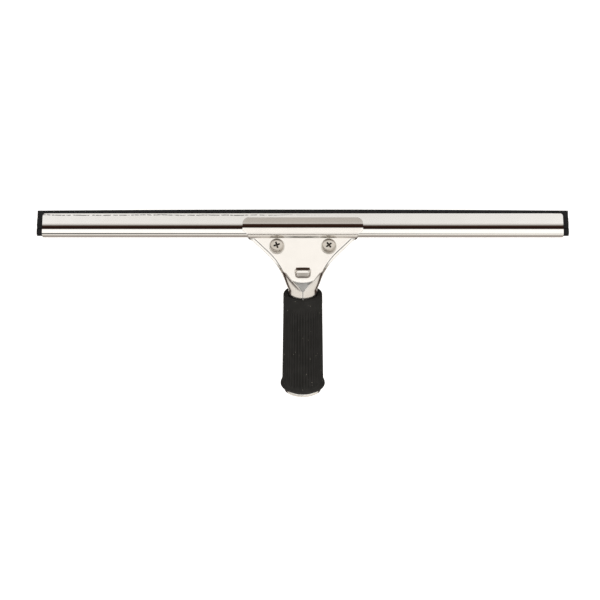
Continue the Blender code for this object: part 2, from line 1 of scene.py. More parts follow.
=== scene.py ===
"""Hand squeegee for windows, in finished detail.

The sections follow the tool as it is put together: the pressed handle, its rubber grip, the clinch
nuts, the rolled channel, the rubber blade, the clamp plate, the washers and the screws. The floor,
the light and the camera come last.

Everything is in metres, in the CAD model's frame: +Z up along the handle, +X along the blade, and
the screws face -Y.
"""

import math

import bmesh
import bpy
from mathutils import Matrix, Vector


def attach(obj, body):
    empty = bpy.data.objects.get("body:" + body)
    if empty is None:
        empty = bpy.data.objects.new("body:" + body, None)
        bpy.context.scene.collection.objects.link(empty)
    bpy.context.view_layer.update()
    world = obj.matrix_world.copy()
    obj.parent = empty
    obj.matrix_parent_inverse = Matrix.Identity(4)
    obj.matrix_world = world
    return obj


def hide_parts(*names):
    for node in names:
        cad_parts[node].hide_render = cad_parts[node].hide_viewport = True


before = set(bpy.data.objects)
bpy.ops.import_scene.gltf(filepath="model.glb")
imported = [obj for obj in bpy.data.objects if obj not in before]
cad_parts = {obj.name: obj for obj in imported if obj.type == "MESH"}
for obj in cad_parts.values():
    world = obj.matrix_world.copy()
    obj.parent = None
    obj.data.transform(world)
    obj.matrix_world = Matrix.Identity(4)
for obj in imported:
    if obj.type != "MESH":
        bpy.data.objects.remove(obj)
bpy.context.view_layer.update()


# ---------------------------------------------------------------- handle
# One blank of 1.5 mm stainless steel. Its lower end is rolled into a tapered socket that takes a
# pole's tip; above, the roll opens into a tray with side flanges, leans back 38 degrees, and ends
# in the rear jaw, which is pressed to the channel's shape.

MM = 0.001
FIT_GAP = 0.3 * MM
SHEET = 1.5 * MM
MID = SHEET / 2
TUBE_R_LOW = 13.0 * MM
TUBE_R_TOP = 11.15 * MM
TUBE_LENGTH = 83.5 * MM
FLARE_R = 14.6 * MM
FLARE_LIP = 1.0 * MM
FLARE_HEIGHT = 3.4 * MM
SEAM_GAP = 0.5 * MM
SEAM_GAP_LOW = 0.08 * MM
LEAN = math.radians(38)
BEND_R = 12.0 * MM
ROLL_OPENS = math.radians(10)
ROLL_OPEN_LEVEL = -25.0 * MM
NECK_LENGTH = 30.6 * MM
NECK_DEPTH = 10.0 * MM
TRAY_DEPTH = 4.9 * MM
TRAY_LEVEL = -19.0 * MM
FLANGE_TOP = -2.3 * MM
PLATE_GAP = 3.0 * MM
BACK_WALL = PLATE_GAP / 2 + MID
FRONT_FACE = PLATE_GAP / 2 + SHEET
JAW_HALF = 46.2 * MM
JAW_TOP = 14.2 * MM
JAW_CORNER_R = 5.0 * MM
JAW_SHOULDER = 4.5 * MM
JAW_LEDGE_ANGLE = math.radians(30)
JAW_FLARE = 0.6 * MM
SHOULDER_ANGLE = math.radians(46.4)
SIDE_R = 52.8 * MM
SCREW_DROP = 7.95 * MM
SCREW_SIDES = {"left": -19.9 * MM, "right": 19.9 * MM}
NUT_BARREL_R = 4.1 * MM
CHANNEL_SHEET = 0.8 * MM

SHEET_STEEL_COLOUR = (0.86, 0.835, 0.80)
SHEET_STEEL_SHADE = (0.78, 0.75, 0.71)

NECK_AXIS = Vector((TUBE_R_TOP - MID + BEND_R, TUBE_LENGTH))  # (y, z) that the neck bends about
HEAD_UP = Vector((math.sin(LEAN), math.cos(LEAN)))
HEAD_FORWARD = Vector((-math.cos(LEAN), math.sin(LEAN)))
HEAD_AT = NECK_AXIS + HEAD_FORWARD * (BEND_R + BACK_WALL) + HEAD_UP * NECK_LENGTH
# The head's own frame: +Z up the head from the back of the channel, -Y the way the screws face.
HEAD = Matrix.Translation((0, *HEAD_AT)) @ Matrix.Rotation(-LEAN, 4, "X")


def mix(a, b, share):
    return a + (b - a) * share


def ease(share):
    share = min(max(share, 0.0), 1.0)
    return share * share * (3 - 2 * share)


def rounded(points, radii, steps):
    """The path with an arc at each inner corner. Arcs that would meet share their run."""
    points = [Vector(point) for point in points]
    halves = [(a - b).angle(c - b) / 2 for a, b, c in zip(points, points[1:], points[2:])]
    reaches = [0, *(radius / math.tan(half) for radius, half in zip(radii, halves)), 0]
    runs = [(b - a).length for a, b in zip(points, points[1:])]
    shares = [min(1, 0.98 * run / (a + b)) for run, a, b in zip(runs, reaches, reaches[1:])]
    path = [points[0]]
    for i, half in enumerate(halves, start=1):
        back = (points[i - 1] - points[i]).normalized()
        ahead = (points[i + 1] - points[i]).normalized()
        reach = reaches[i] * min(shares[i - 1], shares[i])
        centre = points[i] + (back + ahead).normalized() * (reach / math.cos(half))
        start = points[i] + back * reach - centre
        sweep = start.angle_signed(points[i] + ahead * reach - centre)
        for step in range(steps + 1):
            turned = start.copy()
            turned.rotate(Matrix.Rotation(-sweep * step / steps, 2))
            path.append(centre + turned)
    return path + [points[-1]]


def offset(corners, distance):
    """The inner corners of a path moved to the right of its direction."""
    moved = []
    for before, corner, after in zip(corners, corners[1:], corners[2:]):
        come, leave = (corner - before).normalized(), (after - corner).normalized()
        middle = (come + leave).normalized()
        outward = Vector((middle.y, -middle.x))
        moved.append(corner + outward * distance / outward.dot(Vector((come.y, -come.x))))
    return moved


def channel_corners():
    """Corners of the middle line of half the channel's sheet, as (depth, level)."""
    half = CHANNEL_SHEET / 2
    corners = ((0, 0.4), (4.2, 0.4), (4.2, 5.6), (3.0, 7.2), (3.9, 8.9), (2.9, 18.0))
    return [Vector((max(x * MM - half, 0), y * MM)) for x, y in corners]


def jaw_path(steps=7):
    """Middle line of a jaw's sheet, from the flat plate up to its lip, as (depth, level)."""
    off = CHANNEL_SHEET / 2 + FIT_GAP + MID
    centre, wrap_r = Vector((1.2 * MM, 3.0 * MM)), 3.0 * MM + FIT_GAP + MID

    def wrap(turn):
        return centre + wrap_r * Vector((math.sin(turn), -math.cos(turn)))

    meets = wrap(JAW_LEDGE_ANGLE)
    toe = meets + Vector((1, math.tan(JAW_LEDGE_ANGLE))) * (BACK_WALL - meets.x)
    ledge = rounded([(BACK_WALL, -SCREW_DROP), toe, meets], [MID + 0.2 * MM], steps)
    turns = [mix(JAW_LEDGE_ANGLE, math.pi / 2, (i + 1) / steps) for i in range(steps)]
    _, bulb_top, _, flange_low = offset(channel_corners(), off)
    flange_low += Vector((JAW_FLARE, 0))
    waist = offset(channel_corners(), off + 0.2 * MM)[2]
    top = channel_corners()[-1] + Vector((off, 0))
    lip = mix(flange_low, top, (JAW_TOP - flange_low.y) / (top.y - flange_low.y))
    radii = (1.0 * MM + off, MID + 0.2 * MM, 1.0 * MM + off)
    upper = rounded([wrap(math.pi / 2), bulb_top, waist, flange_low, lip], radii, steps)[1:]
    return ledge + [wrap(turn) for turn in turns] + upper


def at_level(path, level):
    for low, high in zip(path, path[1:]):
        if low[1] <= level <= high[1]:
            return mix(low[0], high[0], (level - low[1]) / (high[1] - low[1]))
    return path[0][0] if level < path[0][1] else path[-1][0]


SIDE_RISE = SIDE_R * math.sin(SHOULDER_ANGLE)
SIDE_OUT = SIDE_R * (1 - math.cos(SHOULDER_ANGLE))
SIDE_START = (
    JAW_SHOULDER - SIDE_RISE - (JAW_HALF - TUBE_R_TOP - SIDE_OUT) / math.tan(SHOULDER_ANGLE)
)


def plate_half_width(level, inset=0.0):
    """Half width of the handle's plate, or of a plate that fits inside it by inset."""
    if level > JAW_TOP - JAW_CORNER_R and not inset:
        up = min(level - (JAW_TOP - JAW_CORNER_R), JAW_CORNER_R)
        return JAW_HALF - JAW_CORNER_R + math.sqrt(JAW_CORNER_R**2 - up**2)
    if level > JAW_SHOULDER:
        return JAW_HALF
    grown = SIDE_R + inset
    if level > SIDE_START + grown * math.sin(SHOULDER_ANGLE):
        shift = inset / math.cos(SHOULDER_ANGLE)
        return JAW_HALF - (JAW_SHOULDER - level) * math.tan(SHOULDER_ANGLE) - shift
    return TUBE_R_TOP + SIDE_R - math.sqrt(grown**2 - (level - SIDE_START) ** 2)


def jaw_levels():
    """Levels of a jaw's rows: at its section's bends, between them, and round its corners."""
    bends = [point.y for point in jaw_path()[1:-1]]
    corners = [JAW_TOP - JAW_CORNER_R * (1 - math.sin(math.pi / 2 * i / 12)) for i in range(13)]
    spread = [JAW_SHOULDER + 1.0 * MM * i for i in range(5)]
    levels = []
    for level in sorted([*bends, *corners, *spread]):
        if not levels or level - levels[-1] > 0.08 * MM:
            levels.append(level)
    return levels


def evenly_spaced(path, steps):
    """Points along a path at equal runs."""
    run = [0.0]
    for a, b in zip(path, path[1:]):
        run.append(run[-1] + (b - a).length)
    found, piece = [], 0
    for step in range(steps + 1):
        want = run[-1] * step / steps
        while piece < len(path) - 2 and run[piece + 1] < want:
            piece += 1
        share = (want - run[piece]) / max(run[piece + 1] - run[piece], 1e-12)
        found.append(path[piece].lerp(path[piece + 1], min(share, 1.0)))
    return found


WALL_STEPS, FLANGE_STEPS = 14, 26
BEND_ROWS, HEAD_ROWS = 22, 30
SECTION_POINTS = 480
# A section is a superellipse: 2 is round, and more is squarer.
ROUND, NECK_SQUARE, TRAY_SQUARE = 2.0, 7.0, 9.0


def handle_section(half_width, depth, roll, squareness):
    """Half of the sheet's section, as (x, forward), from the back wall to the flange's edge."""
    fine = []
    for step in range(SECTION_POINTS + 1):
        angle = roll * step / SECTION_POINTS
        cosine = math.cos(angle)
        power = 2 / squareness if cosine > 0 else 1
        x = half_width * math.sin(angle) ** power
        fine.append(Vector((x, depth * (1 - math.copysign(abs(cosine) ** power, cosine)))))
    corner = max(range(len(fine)), key=lambda i: fine[i].x - fine[i].y)
    wall = evenly_spaced(fine[: corner + 1], WALL_STEPS)
    return wall[:-1] + evenly_spaced(fine[corner:], FLANGE_STEPS)


def sheet_row(back, forward, half_section):
    right = [(x, back + forward * out) for x, out in half_section]
    left = [(-x, point) for x, point in reversed(right[1:])]
    return [(x, point.x, point.y) for x, point in left + right]


def handle_rows():
    rows = []
    closed = math.pi - math.asin(SEAM_GAP / 2 / (TUBE_R_TOP - MID))
    flare = [(0, FLARE_R), (FLARE_LIP, FLARE_R)]
    for i in range(1, 6):
        z = mix(FLARE_LIP, FLARE_HEIGHT, i / 5)
        flare.append((z, mix(FLARE_R, TUBE_R_LOW, ease(i / 5))))
    for i in range(1, 9):
        flare.append((mix(FLARE_HEIGHT, TUBE_LENGTH, i / 8), mix(TUBE_R_LOW, TUBE_R_TOP, i / 8)))
    for z, outer in flare:
        radius = outer - MID
        seam = mix(SEAM_GAP_LOW, SEAM_GAP, z / TUBE_LENGTH)
        section = handle_section(radius, radius, math.pi - math.asin(seam / 2 / radius), ROUND)
        rows.append(sheet_row(Vector((radius, z)), Vector((-1, 0)), section))

    tube_mid = TUBE_R_TOP - MID
    bend_half_width = plate_half_width(-NECK_LENGTH) - MID
    opening_bend = (LEAN - ROLL_OPENS) * BEND_R
    opening_length = opening_bend + NECK_LENGTH + ROLL_OPEN_LEVEL

    def roll_at(run):
        share = min(max(run / opening_length, 0), 1)
        return mix(closed, math.pi / 2, 1 - (1 - share) ** 1.8)

    for step in range(1, BEND_ROWS + 1):
        turn = LEAN * step / BEND_ROWS
        opened = max(0.0, (turn - ROLL_OPENS) / (LEAN - ROLL_OPENS))
        forward = Vector((-math.cos(turn), math.sin(turn)))
        section = handle_section(
            mix(tube_mid, bend_half_width, opened**0.85),
            mix(tube_mid / math.cos(turn), NECK_DEPTH, opened),
            roll_at((turn - ROLL_OPENS) * BEND_R),
            mix(ROUND, NECK_SQUARE, opened**0.6),
        )
        rows.append(sheet_row(NECK_AXIS + forward * BEND_R, forward, section))

    bend_end = NECK_AXIS + HEAD_FORWARD * BEND_R
    for step in range(1, HEAD_ROWS + 1):
        level = mix(-NECK_LENGTH, FLANGE_TOP, step / HEAD_ROWS)
        low = max(0.0, (TRAY_LEVEL - level) / (TRAY_LEVEL + NECK_LENGTH))
        section = handle_section(
            plate_half_width(level) - MID,
            mix(TRAY_DEPTH, NECK_DEPTH, low**2),
            roll_at(opening_bend + NECK_LENGTH + level),
            mix(TRAY_SQUARE, NECK_SQUARE, low),
        )
        rows.append(sheet_row(bend_end + HEAD_UP * (level + NECK_LENGTH), HEAD_FORWARD, section))

    jaw = jaw_path()
    for level in [FLANGE_TOP + 0.7 * MM] + [x for x in jaw_levels() if x > FLANGE_TOP + MM]:
        half_width = plate_half_width(level)
        flat = [Vector((half_width * i / WALL_STEPS, 0)) for i in range(WALL_STEPS + 1)]
        back = HEAD_AT + HEAD_UP * level - HEAD_FORWARD * at_level(jaw, level)
        rows.append(sheet_row(back, HEAD_FORWARD, flat))
    return rows


def sheet_mesh(name, rows):
    """A surface through rows of points. A longer row's ends stay free beside a shorter one."""
    points, faces, below = [], [], []
    for row in rows:
        indices = list(range(len(points), len(points) + len(row)))
        points += row
        spare = (len(below) - len(indices)) // 2
        low = below[max(spare, 0) : len(below) - max(spare, 0)]
        high = indices[max(-spare, 0) : len(indices) - max(-spare, 0)]
        faces += list(zip(low, low[1:], high[1:], high))
        below = indices
    mesh = bpy.data.meshes.new(name)
    mesh.from_pydata(points, [], faces)
    return mesh


def new_piece(name, mesh):
    piece = bpy.data.objects.new(name, mesh)
    bpy.context.scene.collection.objects.link(piece)
    return piece


def thicken(piece, thickness):
    modifier = piece.modifiers.new("sheet", "SOLIDIFY")
    modifier.thickness = thickness
    modifier.offset = 0
    modifier.use_even_offset = True


def cut(piece, cutter):
    modifier = piece.modifiers.new("cut", "BOOLEAN")
    modifier.object = cutter
    modifier.operation = "DIFFERENCE"
    modifier.use_self = True


def soften_edges(piece, width, segments=2, angle=50):
    modifier = piece.modifiers.new("edges", "BEVEL")
    modifier.width = width
    modifier.segments = segments
    modifier.limit_method = "ANGLE"
    modifier.angle_limit = math.radians(angle)
    modifier.miter_outer = "MITER_ARC"


SMOOTH_ANGLE = math.radians(40)


def settle(piece, place=None):
    """Turns the piece's modifiers into its mesh, puts it in place and smooths it."""
    graph = bpy.context.evaluated_depsgraph_get()
    made = bpy.data.meshes.new_from_object(piece.evaluated_get(graph))
    piece.modifiers.clear()
    old = piece.data
    piece.data = made
    bpy.data.meshes.remove(old)
    made.name = piece.name
    if place:
        made.transform(place)
    made.shade_smooth()
    made.set_sharp_from_angle(angle=SMOOTH_ANGLE)
    modifier = piece.modifiers.new("flat faces", "WEIGHTED_NORMAL")
    modifier.keep_sharp = True
    modifier.weight = 80


def drop(*helpers):
    for helper in helpers:
        bpy.data.objects.remove(helper)


def on_screw_axis(x):
    """Takes a turned piece to a screw's axis, its +Z pointing the way the screws face."""
    return HEAD @ Matrix.Translation((x, 0, -SCREW_DROP)) @ Matrix.Rotation(math.pi / 2, 4, "X")


def mesh_from(name, shape):
    mesh = bpy.data.meshes.new(name)
    shape.to_mesh(mesh)
    shape.free()
    return mesh


def round_cutter(radius, x):
    """A cylinder on a screw's axis, through both plates."""
    shape = bmesh.new()
    bmesh.ops.create_cone(
        shape, cap_ends=True, segments=64, radius1=radius, radius2=radius, depth=20 * MM,
        matrix=on_screw_axis(x),
    )
    return new_piece("cutter", mesh_from("cutter", shape))


def node(tree, kind, feeds, **settings):
    """A node with its settings, its inputs set to values or joined to other nodes' outputs."""
    made = tree.nodes.new(kind)
    for name, value in settings.items():
        setattr(made, name, value)
    for socket, value in feeds.items():
        if isinstance(value, bpy.types.NodeSocket):
            tree.links.new(value, made.inputs[socket])
        else:
            made.inputs[socket].default_value = value
    return made


def total(tree, operation, *values):
    """The result of one sum on values or on other nodes' outputs."""
    return node(tree, "ShaderNodeMath", dict(enumerate(values)), operation=operation).outputs[0]


def smooth_step(tree, value, start, full, lowest=0.0):
    """Lowest up to start, and from there smoothly to 1 at full."""
    feeds = {"Value": value, "From Min": start, "From Max": full, "To Min": lowest}
    return node(tree, "ShaderNodeMapRange", feeds, interpolation_type="SMOOTHSTEP").outputs[0]


def noise(tree, where, scale, detail, roughness=0.5):
    feeds = {"Vector": where, "Scale": scale, "Detail": detail, "Roughness": roughness}
    return node(tree, "ShaderNodeTexNoise", feeds).outputs["Fac"]


def tint(tree, share, under, over):
    """The colour under, mixed towards the colour over by share."""
    feeds = {0: share, 6: under, 7: over}
    return node(tree, "ShaderNodeMix", feeds, data_type="RGBA").outputs[2]


def object_place(tree):
    return node(tree, "ShaderNodeTexCoord", {}).outputs["Object"]


def socket_type(value):
    """A socket's type, from its value or from the type's name where it has no value."""
    if isinstance(value, str):
        return "NodeSocket" + value
    if isinstance(value, float):
        return "NodeSocketFloat"
    return "NodeSocketColor" if len(value) == 4 else "NodeSocketVector"


def new_group(name, kind, inputs, outputs):
    """An empty node group with its sockets, and the ends that its nodes join to."""
    tree = bpy.data.node_groups.new(name, kind)
    for direction, sockets in (("INPUT", inputs), ("OUTPUT", outputs)):
        for socket, value in sockets.items():
            made = tree.interface.new_socket(
                name=socket, in_out=direction, socket_type=socket_type(value)
            )
            if not isinstance(value, str):
                made.default_value = value
    return tree, tree.nodes.new("NodeGroupInput").outputs, tree.nodes.new("NodeGroupOutput").inputs


def put_out(tree, out, **results):
    for name, result in results.items():
        tree.links.new(result, out[name])


def steel_surface_group():
    """Rolled grain, fine scratches and handling marks of a stainless sheet."""
    tree, given, out = new_group(
        "steel_surface",
        "ShaderNodeTree",
        {
            "Colour": (0.8, 0.78, 0.74, 1),
            "Shade": (0.68, 0.65, 0.61, 1),
            "Grain Scale": (200, 2500, 2500),
            "Roughness": 0.2,
            "Roughness Spread": 0.08,
            "Ripple Depth": 1.0,
            "Grain Depth": 0.2,
        },
        {"Colour": "Color", "Roughness": "Float", "Height": "Float"},
    )
    where = object_place(tree)
    along = node(tree, "ShaderNodeMapping", {"Vector": where, "Scale": given["Grain Scale"]})
    grain = noise(tree, along.outputs[0], 1.0, 3.0, 0.6)
    marks = noise(tree, where, 95.0, 4.0, 0.55)
    ripple = noise(tree, where, 38.0, 1.0)
    worn = node(
        tree, "ShaderNodeMapRange", {"Value": marks, "From Min": 0.38, "From Max": 0.66}
    ).outputs[0]
    lined = total(tree, "MULTIPLY_ADD", grain, 0.30, total(tree, "MULTIPLY", worn, 0.55))
    uneven = total(tree, "SUBTRACT", total(tree, "ADD", grain, marks), 1.0)
    spread, even = given["Roughness Spread"], given["Roughness"]
    waves = total(tree, "MULTIPLY", ripple, given["Ripple Depth"])
    put_out(
        tree, out,
        Colour=tint(tree, lined, given["Colour"], given["Shade"]),
        Roughness=total(tree, "MULTIPLY_ADD", uneven, spread, even),
        Height=total(tree, "MULTIPLY_ADD", grain, given["Grain Depth"], waves),
    )
    return tree


def edge_wear_group():
    """A mask of the edges that hands and cloths rub bright."""
    tree, given, out = new_group(
        "edge_wear",
        "ShaderNodeTree",
        {"Start": 0.53, "Full": 0.62, "Broken Scale": 400.0},
        {"Mask": "Float"},
    )
    point = node(tree, "ShaderNodeNewGeometry", {}).outputs["Pointiness"]
    broken = noise(tree, object_place(tree), given["Broken Scale"], 2.0)
    sharp = smooth_step(tree, point, given["Start"], given["Full"])
    put_out(tree, out, Mask=total(tree, "MULTIPLY", sharp, broken))
    return tree


def head_band_group():
    """A mask of the strip between two levels of the head, with soft and wavy edges."""
    tree, given, out = new_group(
        "head_band",
        "ShaderNodeTree",
        {"Low": 0.0, "High": 0.001, "Fade": 0.0003, "Half Width": 1.0, "Wave": 0.0,
         "Wave Scale": 60.0},
        {"Mask": "Float", "Across": "Float"},
    )
    low, high, fade = given["Low"], given["High"], given["Fade"]
    where = object_place(tree)
    level = node(
        tree, "ShaderNodeVectorMath", {0: where, 1: (0, *HEAD_UP)}, operation="DOT_PRODUCT"
    ).outputs["Value"]
    swing = total(tree, "SUBTRACT", noise(tree, where, given["Wave Scale"], 3.0), 0.5)
    waved = total(tree, "MULTIPLY_ADD", swing, given["Wave"], level)
    height = total(tree, "SUBTRACT", waved, HEAD_AT.dot(HEAD_UP))
    rise = smooth_step(tree, height, total(tree, "SUBTRACT", low, fade), low)
    fall = smooth_step(tree, height, total(tree, "ADD", high, fade), high)
    across = node(tree, "ShaderNodeSeparateXYZ", {0: where}).outputs["X"]
    from_middle = total(tree, "ABSOLUTE", across)
    end = total(tree, "ADD", given["Half Width"], fade)
    ends = smooth_step(tree, from_middle, end, given["Half Width"])
    strip = total(tree, "MULTIPLY", rise, fall)
    put_out(tree, out, Mask=total(tree, "MULTIPLY", strip, ends), Across=across)
    return tree


STEEL_SURFACE = steel_surface_group()
HEAD_BAND = head_band_group()
EDGE_WEAR = edge_wear_group()


def new_material(name, **sockets):
    """A material, its tree and its shader, with values set on the shader's own sockets."""
    material = bpy.data.materials.new(name)
    material.use_nodes = True
    shader = material.node_tree.nodes["Principled BSDF"]
    for socket, value in sockets.items():
        shader.inputs[socket.replace("_", " ")].default_value = value
    return material, material.node_tree, shader


def dress(tree, shader, surface, wear, rubbed, strength, depth):
    """Joins a surface to the shader, its worn edges in the rubbed colour, its height as a bump."""
    colour = tint(tree, wear.outputs["Mask"], surface.outputs["Colour"], rubbed)
    height = surface.outputs["Height"]
    bump = node(
        tree, "ShaderNodeBump", {"Height": height, "Strength": strength, "Distance": depth}
    )
    tree.links.new(colour, shader.inputs["Base Color"])
    tree.links.new(surface.outputs["Roughness"], shader.inputs["Roughness"])
    tree.links.new(bump.outputs[0], shader.inputs["Normal"])


RUBBED_STEEL = (0.9, 0.89, 0.87, 1)
STEEL_GRAIN_DEPTH = 0.02 * MM


def steel_material(name, colour, shade, grain, roughness, spread, ripple, grain_depth):
    material, tree, shader = new_material(name, Metallic=1.0)
    surface = node(
        tree, "ShaderNodeGroup",
        {"Colour": (*colour, 1), "Shade": (*shade, 1), "Grain Scale": grain,
         "Roughness": roughness, "Roughness Spread": spread, "Ripple Depth": ripple,
         "Grain Depth": grain_depth},
        node_tree=STEEL_SURFACE,
    )
    wear = node(tree, "ShaderNodeGroup", {}, node_tree=EDGE_WEAR)
    dress(tree, shader, surface, wear, RUBBED_STEEL, 1.0, STEEL_GRAIN_DEPTH)
    return material


def paint_shade_band(material, colour, low, high, fade, roughness, half_width=1.0):
    """Painted shade, with duller metal, in a band between two levels of the head: along a pressed
    groove or fold, or on a wall of the pressed foot.
    """
    tree = material.node_tree
    shader = tree.nodes["Principled BSDF"]
    mask = node(
        tree, "ShaderNodeGroup",
        {"Low": low, "High": high, "Fade": fade, "Half Width": half_width},
        node_tree=HEAD_BAND,
    ).outputs["Mask"]
    clean = shader.inputs["Base Color"].links[0].from_socket
    even = shader.inputs["Roughness"].links[0].from_socket
    dull = node(tree, "ShaderNodeMix", {0: mask, 2: even, 3: roughness}).outputs[0]
    tree.links.new(tint(tree, mask, clean, (*colour, 1)), shader.inputs["Base Color"])
    tree.links.new(dull, shader.inputs["Roughness"])


def fit(piece, material, body, slot, *nodes):
    """Gives a finished piece its material, if it has none, and its place in the model."""
    if not piece.data.materials:
        piece.data.materials.append(material)
    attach(piece, body)
    if nodes:
        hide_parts(*nodes)


handle_steel = steel_material(
    "pressed_stainless", SHEET_STEEL_COLOUR, SHEET_STEEL_SHADE,
    grain=(900, 900, 220), roughness=0.18, spread=0.05, ripple=1.6, grain_depth=0.06,
)
# Painted light: the inner face gets a pale, mostly diffuse steel that stands in for the light
# bounced round inside the roll.
inner_painted_light_steel = steel_material(
    "mill_finish", (0.95, 0.95, 0.94), (0.88, 0.88, 0.87),
    grain=(500, 500, 200), roughness=0.40, spread=0.08, ripple=0.8, grain_depth=0.1,
)
inner_painted_light_steel.node_tree.nodes["Principled BSDF"].inputs["Metallic"].default_value = 0.15
handle = new_piece("steel_handle", sheet_mesh("steel_handle", handle_rows()))
handle.data.materials.append(inner_painted_light_steel)
handle.data.materials.append(handle_steel)
thicken(handle, SHEET)
handle.modifiers["sheet"].material_offset = 1
handle.modifiers["sheet"].material_offset_rim = 1
nut_holes = [round_cutter(NUT_BARREL_R + FIT_GAP, x) for x in SCREW_SIDES.values()]
for hole in nut_holes:
    cut(handle, hole)
soften_edges(handle, 0.22 * MM)
settle(handle)
drop(*nut_holes)
fit(handle, handle_steel, "handle", "handle_steel", "handle_body")


# ---------------------------------------------------------------- grip
# A sleeve of moulded black rubber pushed on the socket. It has a smooth collar at the top, fine
# grooves down its length for wet hands, and a thicker lip at the bottom.

GRIP_BOTTOM = 3.8 * MM
GRIP_TOP = 83.3 * MM
GRIP_R_TOP = 14.85 * MM
GRIP_R_LOW = 16.2 * MM
GRIP_LIP_R = 17.4 * MM
GRIP_LIP_HEIGHT = 5.2 * MM
GRIP_ROUND = 1.0 * MM
GROOVES = 44
GROOVE_DEPTH = 0.62 * MM
COLLAR_HEIGHT = 8.3 * MM
GRIP_COLOUR = (0.0120, 0.0115, 0.0105)
GRIP_SCUFF = (0.026, 0.025, 0.023)


def turned_mesh(name, profile, steps):
    """A closed solid turned about Z from (radius, height) points that run down its outer side."""
    shape = bmesh.new()
    rings = []
    for radius, height in profile:
        if radius < 1e-7:
            rings.append([shape.verts.new((0, 0, height))] * steps)
            continue
        turns = [2 * math.pi * i / steps for i in range(steps)]
        rings.append(
            [shape.verts.new((radius * math.cos(a), radius * math.sin(a), height)) for a in turns]
        )
    pairs = list(zip(rings, rings[1:]))
    if profile[0][0] > 1e-7:
        pairs.append((rings[-1], rings[0]))
    for upper, lower in pairs:
        for i in range(steps):
            j = (i + 1) % steps
            shape.faces.new(list(dict.fromkeys((upper[i], lower[i], lower[j], upper[j]))))
    return mesh_from(name, shape)


def arc(centre, radius, start, end, steps):
    """Points of an arc in the (radius, height) plane, its angles in degrees from outward to up."""
    angles = [math.radians(mix(start, end, i / steps)) for i in range(steps + 1)]
    return [(centre[0] + radius * math.cos(a), centre[1] + radius * math.sin(a)) for a in angles]


def end_tree(tree, given, out, geometry):
    """Closes a geometry tree with real copies in the given material."""
    real = node(tree, "GeometryNodeRealizeInstances", {"Geometry": geometry}).outputs[0]
    made = node(
        tree, "GeometryNodeSetMaterial", {"Geometry": real, "Material": given["Material"]}
    ).outputs[0]
    put_out(tree, out, Geometry=made)


def grooves_tree():
    """Geometry nodes: presses grooves that run along Z into a turned piece."""
    tree, given, out = new_group(
        "grooves",
        "GeometryNodeTree",
        {"Geometry": "Geometry", "Grooves": 40.0, "Depth": 0.0005, "Sharpness": 3.0,
         "Lowest": 0.0, "Highest": 0.1, "Run Out": 0.001, "Bore": 0.01, "Material": "Material"},
        {"Geometry": "Geometry"},
    )
    lowest, highest, run_out = given["Lowest"], given["Highest"], given["Run Out"]
    place = node(tree, "GeometryNodeInputPosition", {}).outputs[0]
    x, y, z = list(node(tree, "ShaderNodeSeparateXYZ", {0: place}).outputs)[:3]
    level = node(tree, "ShaderNodeCombineXYZ", {"X": x, "Y": y}).outputs[0]
    outward = node(tree, "ShaderNodeVectorMath", {0: level}, operation="NORMALIZE").outputs[0]
    radius = node(tree, "ShaderNodeVectorMath", {0: level}, operation="LENGTH").outputs["Value"]
    turns = total(tree, "MULTIPLY", total(tree, "ARCTAN2", y, x), given["Grooves"])
    lifted = total(tree, "MULTIPLY_ADD", total(tree, "COSINE", turns), 0.5, 0.5)
    share = total(tree, "POWER", lifted, given["Sharpness"])
    for mask in (
        smooth_step(tree, z, lowest, total(tree, "ADD", lowest, run_out)),
        smooth_step(tree, z, highest, total(tree, "SUBTRACT", highest, run_out)),
        total(tree, "GREATER_THAN", radius, given["Bore"]),
        total(tree, "MULTIPLY", given["Depth"], -1.0),
    ):
        share = total(tree, "MULTIPLY", share, mask)
    shift = node(
        tree, "ShaderNodeVectorMath", {0: outward, "Scale": share}, operation="SCALE"
    ).outputs[0]
    moved = node(
        tree, "GeometryNodeSetPosition", {"Geometry": given["Geometry"], "Offset": shift}
    ).outputs[0]
    end_tree(tree, given, out, moved)
    return tree


GROOVES_TREE = grooves_tree()


def add_nodes(piece, tree, **values):
    """Puts a geometry node tree on a piece, its named inputs set by their identifiers."""
    modifier = piece.modifiers.new(tree.name, "NODES")
    modifier.node_group = tree
    for item in tree.interface.items_tree:
        name = item.name.lower().replace(" ", "_")
        if item.item_type == "SOCKET" and item.in_out == "INPUT" and name in values:
            modifier[item.identifier] = values[name]


CHALK = (0.24, 0.22, 0.19, 1)


def rubber_surface_group():
    """Light specks of dust and chalk on rubber, and the mould's fine texture."""
    tree, given, out = new_group(
        "rubber_surface",
        "ShaderNodeTree",
        {
            "Colour": (0.02, 0.02, 0.02, 1),
            "Scuff Colour": (0.06, 0.06, 0.06, 1),
            "Speck Scale": 700.0,
            "Speck Size": 0.1,
            "Roughness": 0.6,
        },
        {"Colour": "Color", "Roughness": "Float", "Height": "Float"},
    )
    where = object_place(tree)
    cells = node(
        tree, "ShaderNodeTexVoronoi",
        {"Vector": where, "Scale": given["Speck Scale"], "Randomness": 1.0},
    )
    near = total(tree, "LESS_THAN", cells.outputs["Distance"], given["Speck Size"])
    chance = node(tree, "ShaderNodeSeparateColor", {0: cells.outputs["Color"]}).outputs[0]
    speck = total(tree, "MULTIPLY", near, total(tree, "GREATER_THAN", chance, 0.93))
    cloud = noise(tree, where, 160.0, 5.0)
    fine = noise(tree, where, 2600.0, 2.0)
    dusty = node(
        tree, "ShaderNodeMapRange",
        {"Value": cloud, "From Min": 0.42, "From Max": 0.72, "To Max": 0.35},
    ).outputs[0]
    scuffed = tint(tree, dusty, given["Colour"], given["Scuff Colour"])
    put_out(
        tree, out,
        Colour=tint(tree, speck, scuffed, CHALK),
        Roughness=total(tree, "MULTIPLY_ADD", dusty, 0.25, given["Roughness"]),
        Height=total(tree, "ADD", fine, cloud),
    )
    return tree


RUBBER_SURFACE = rubber_surface_group()


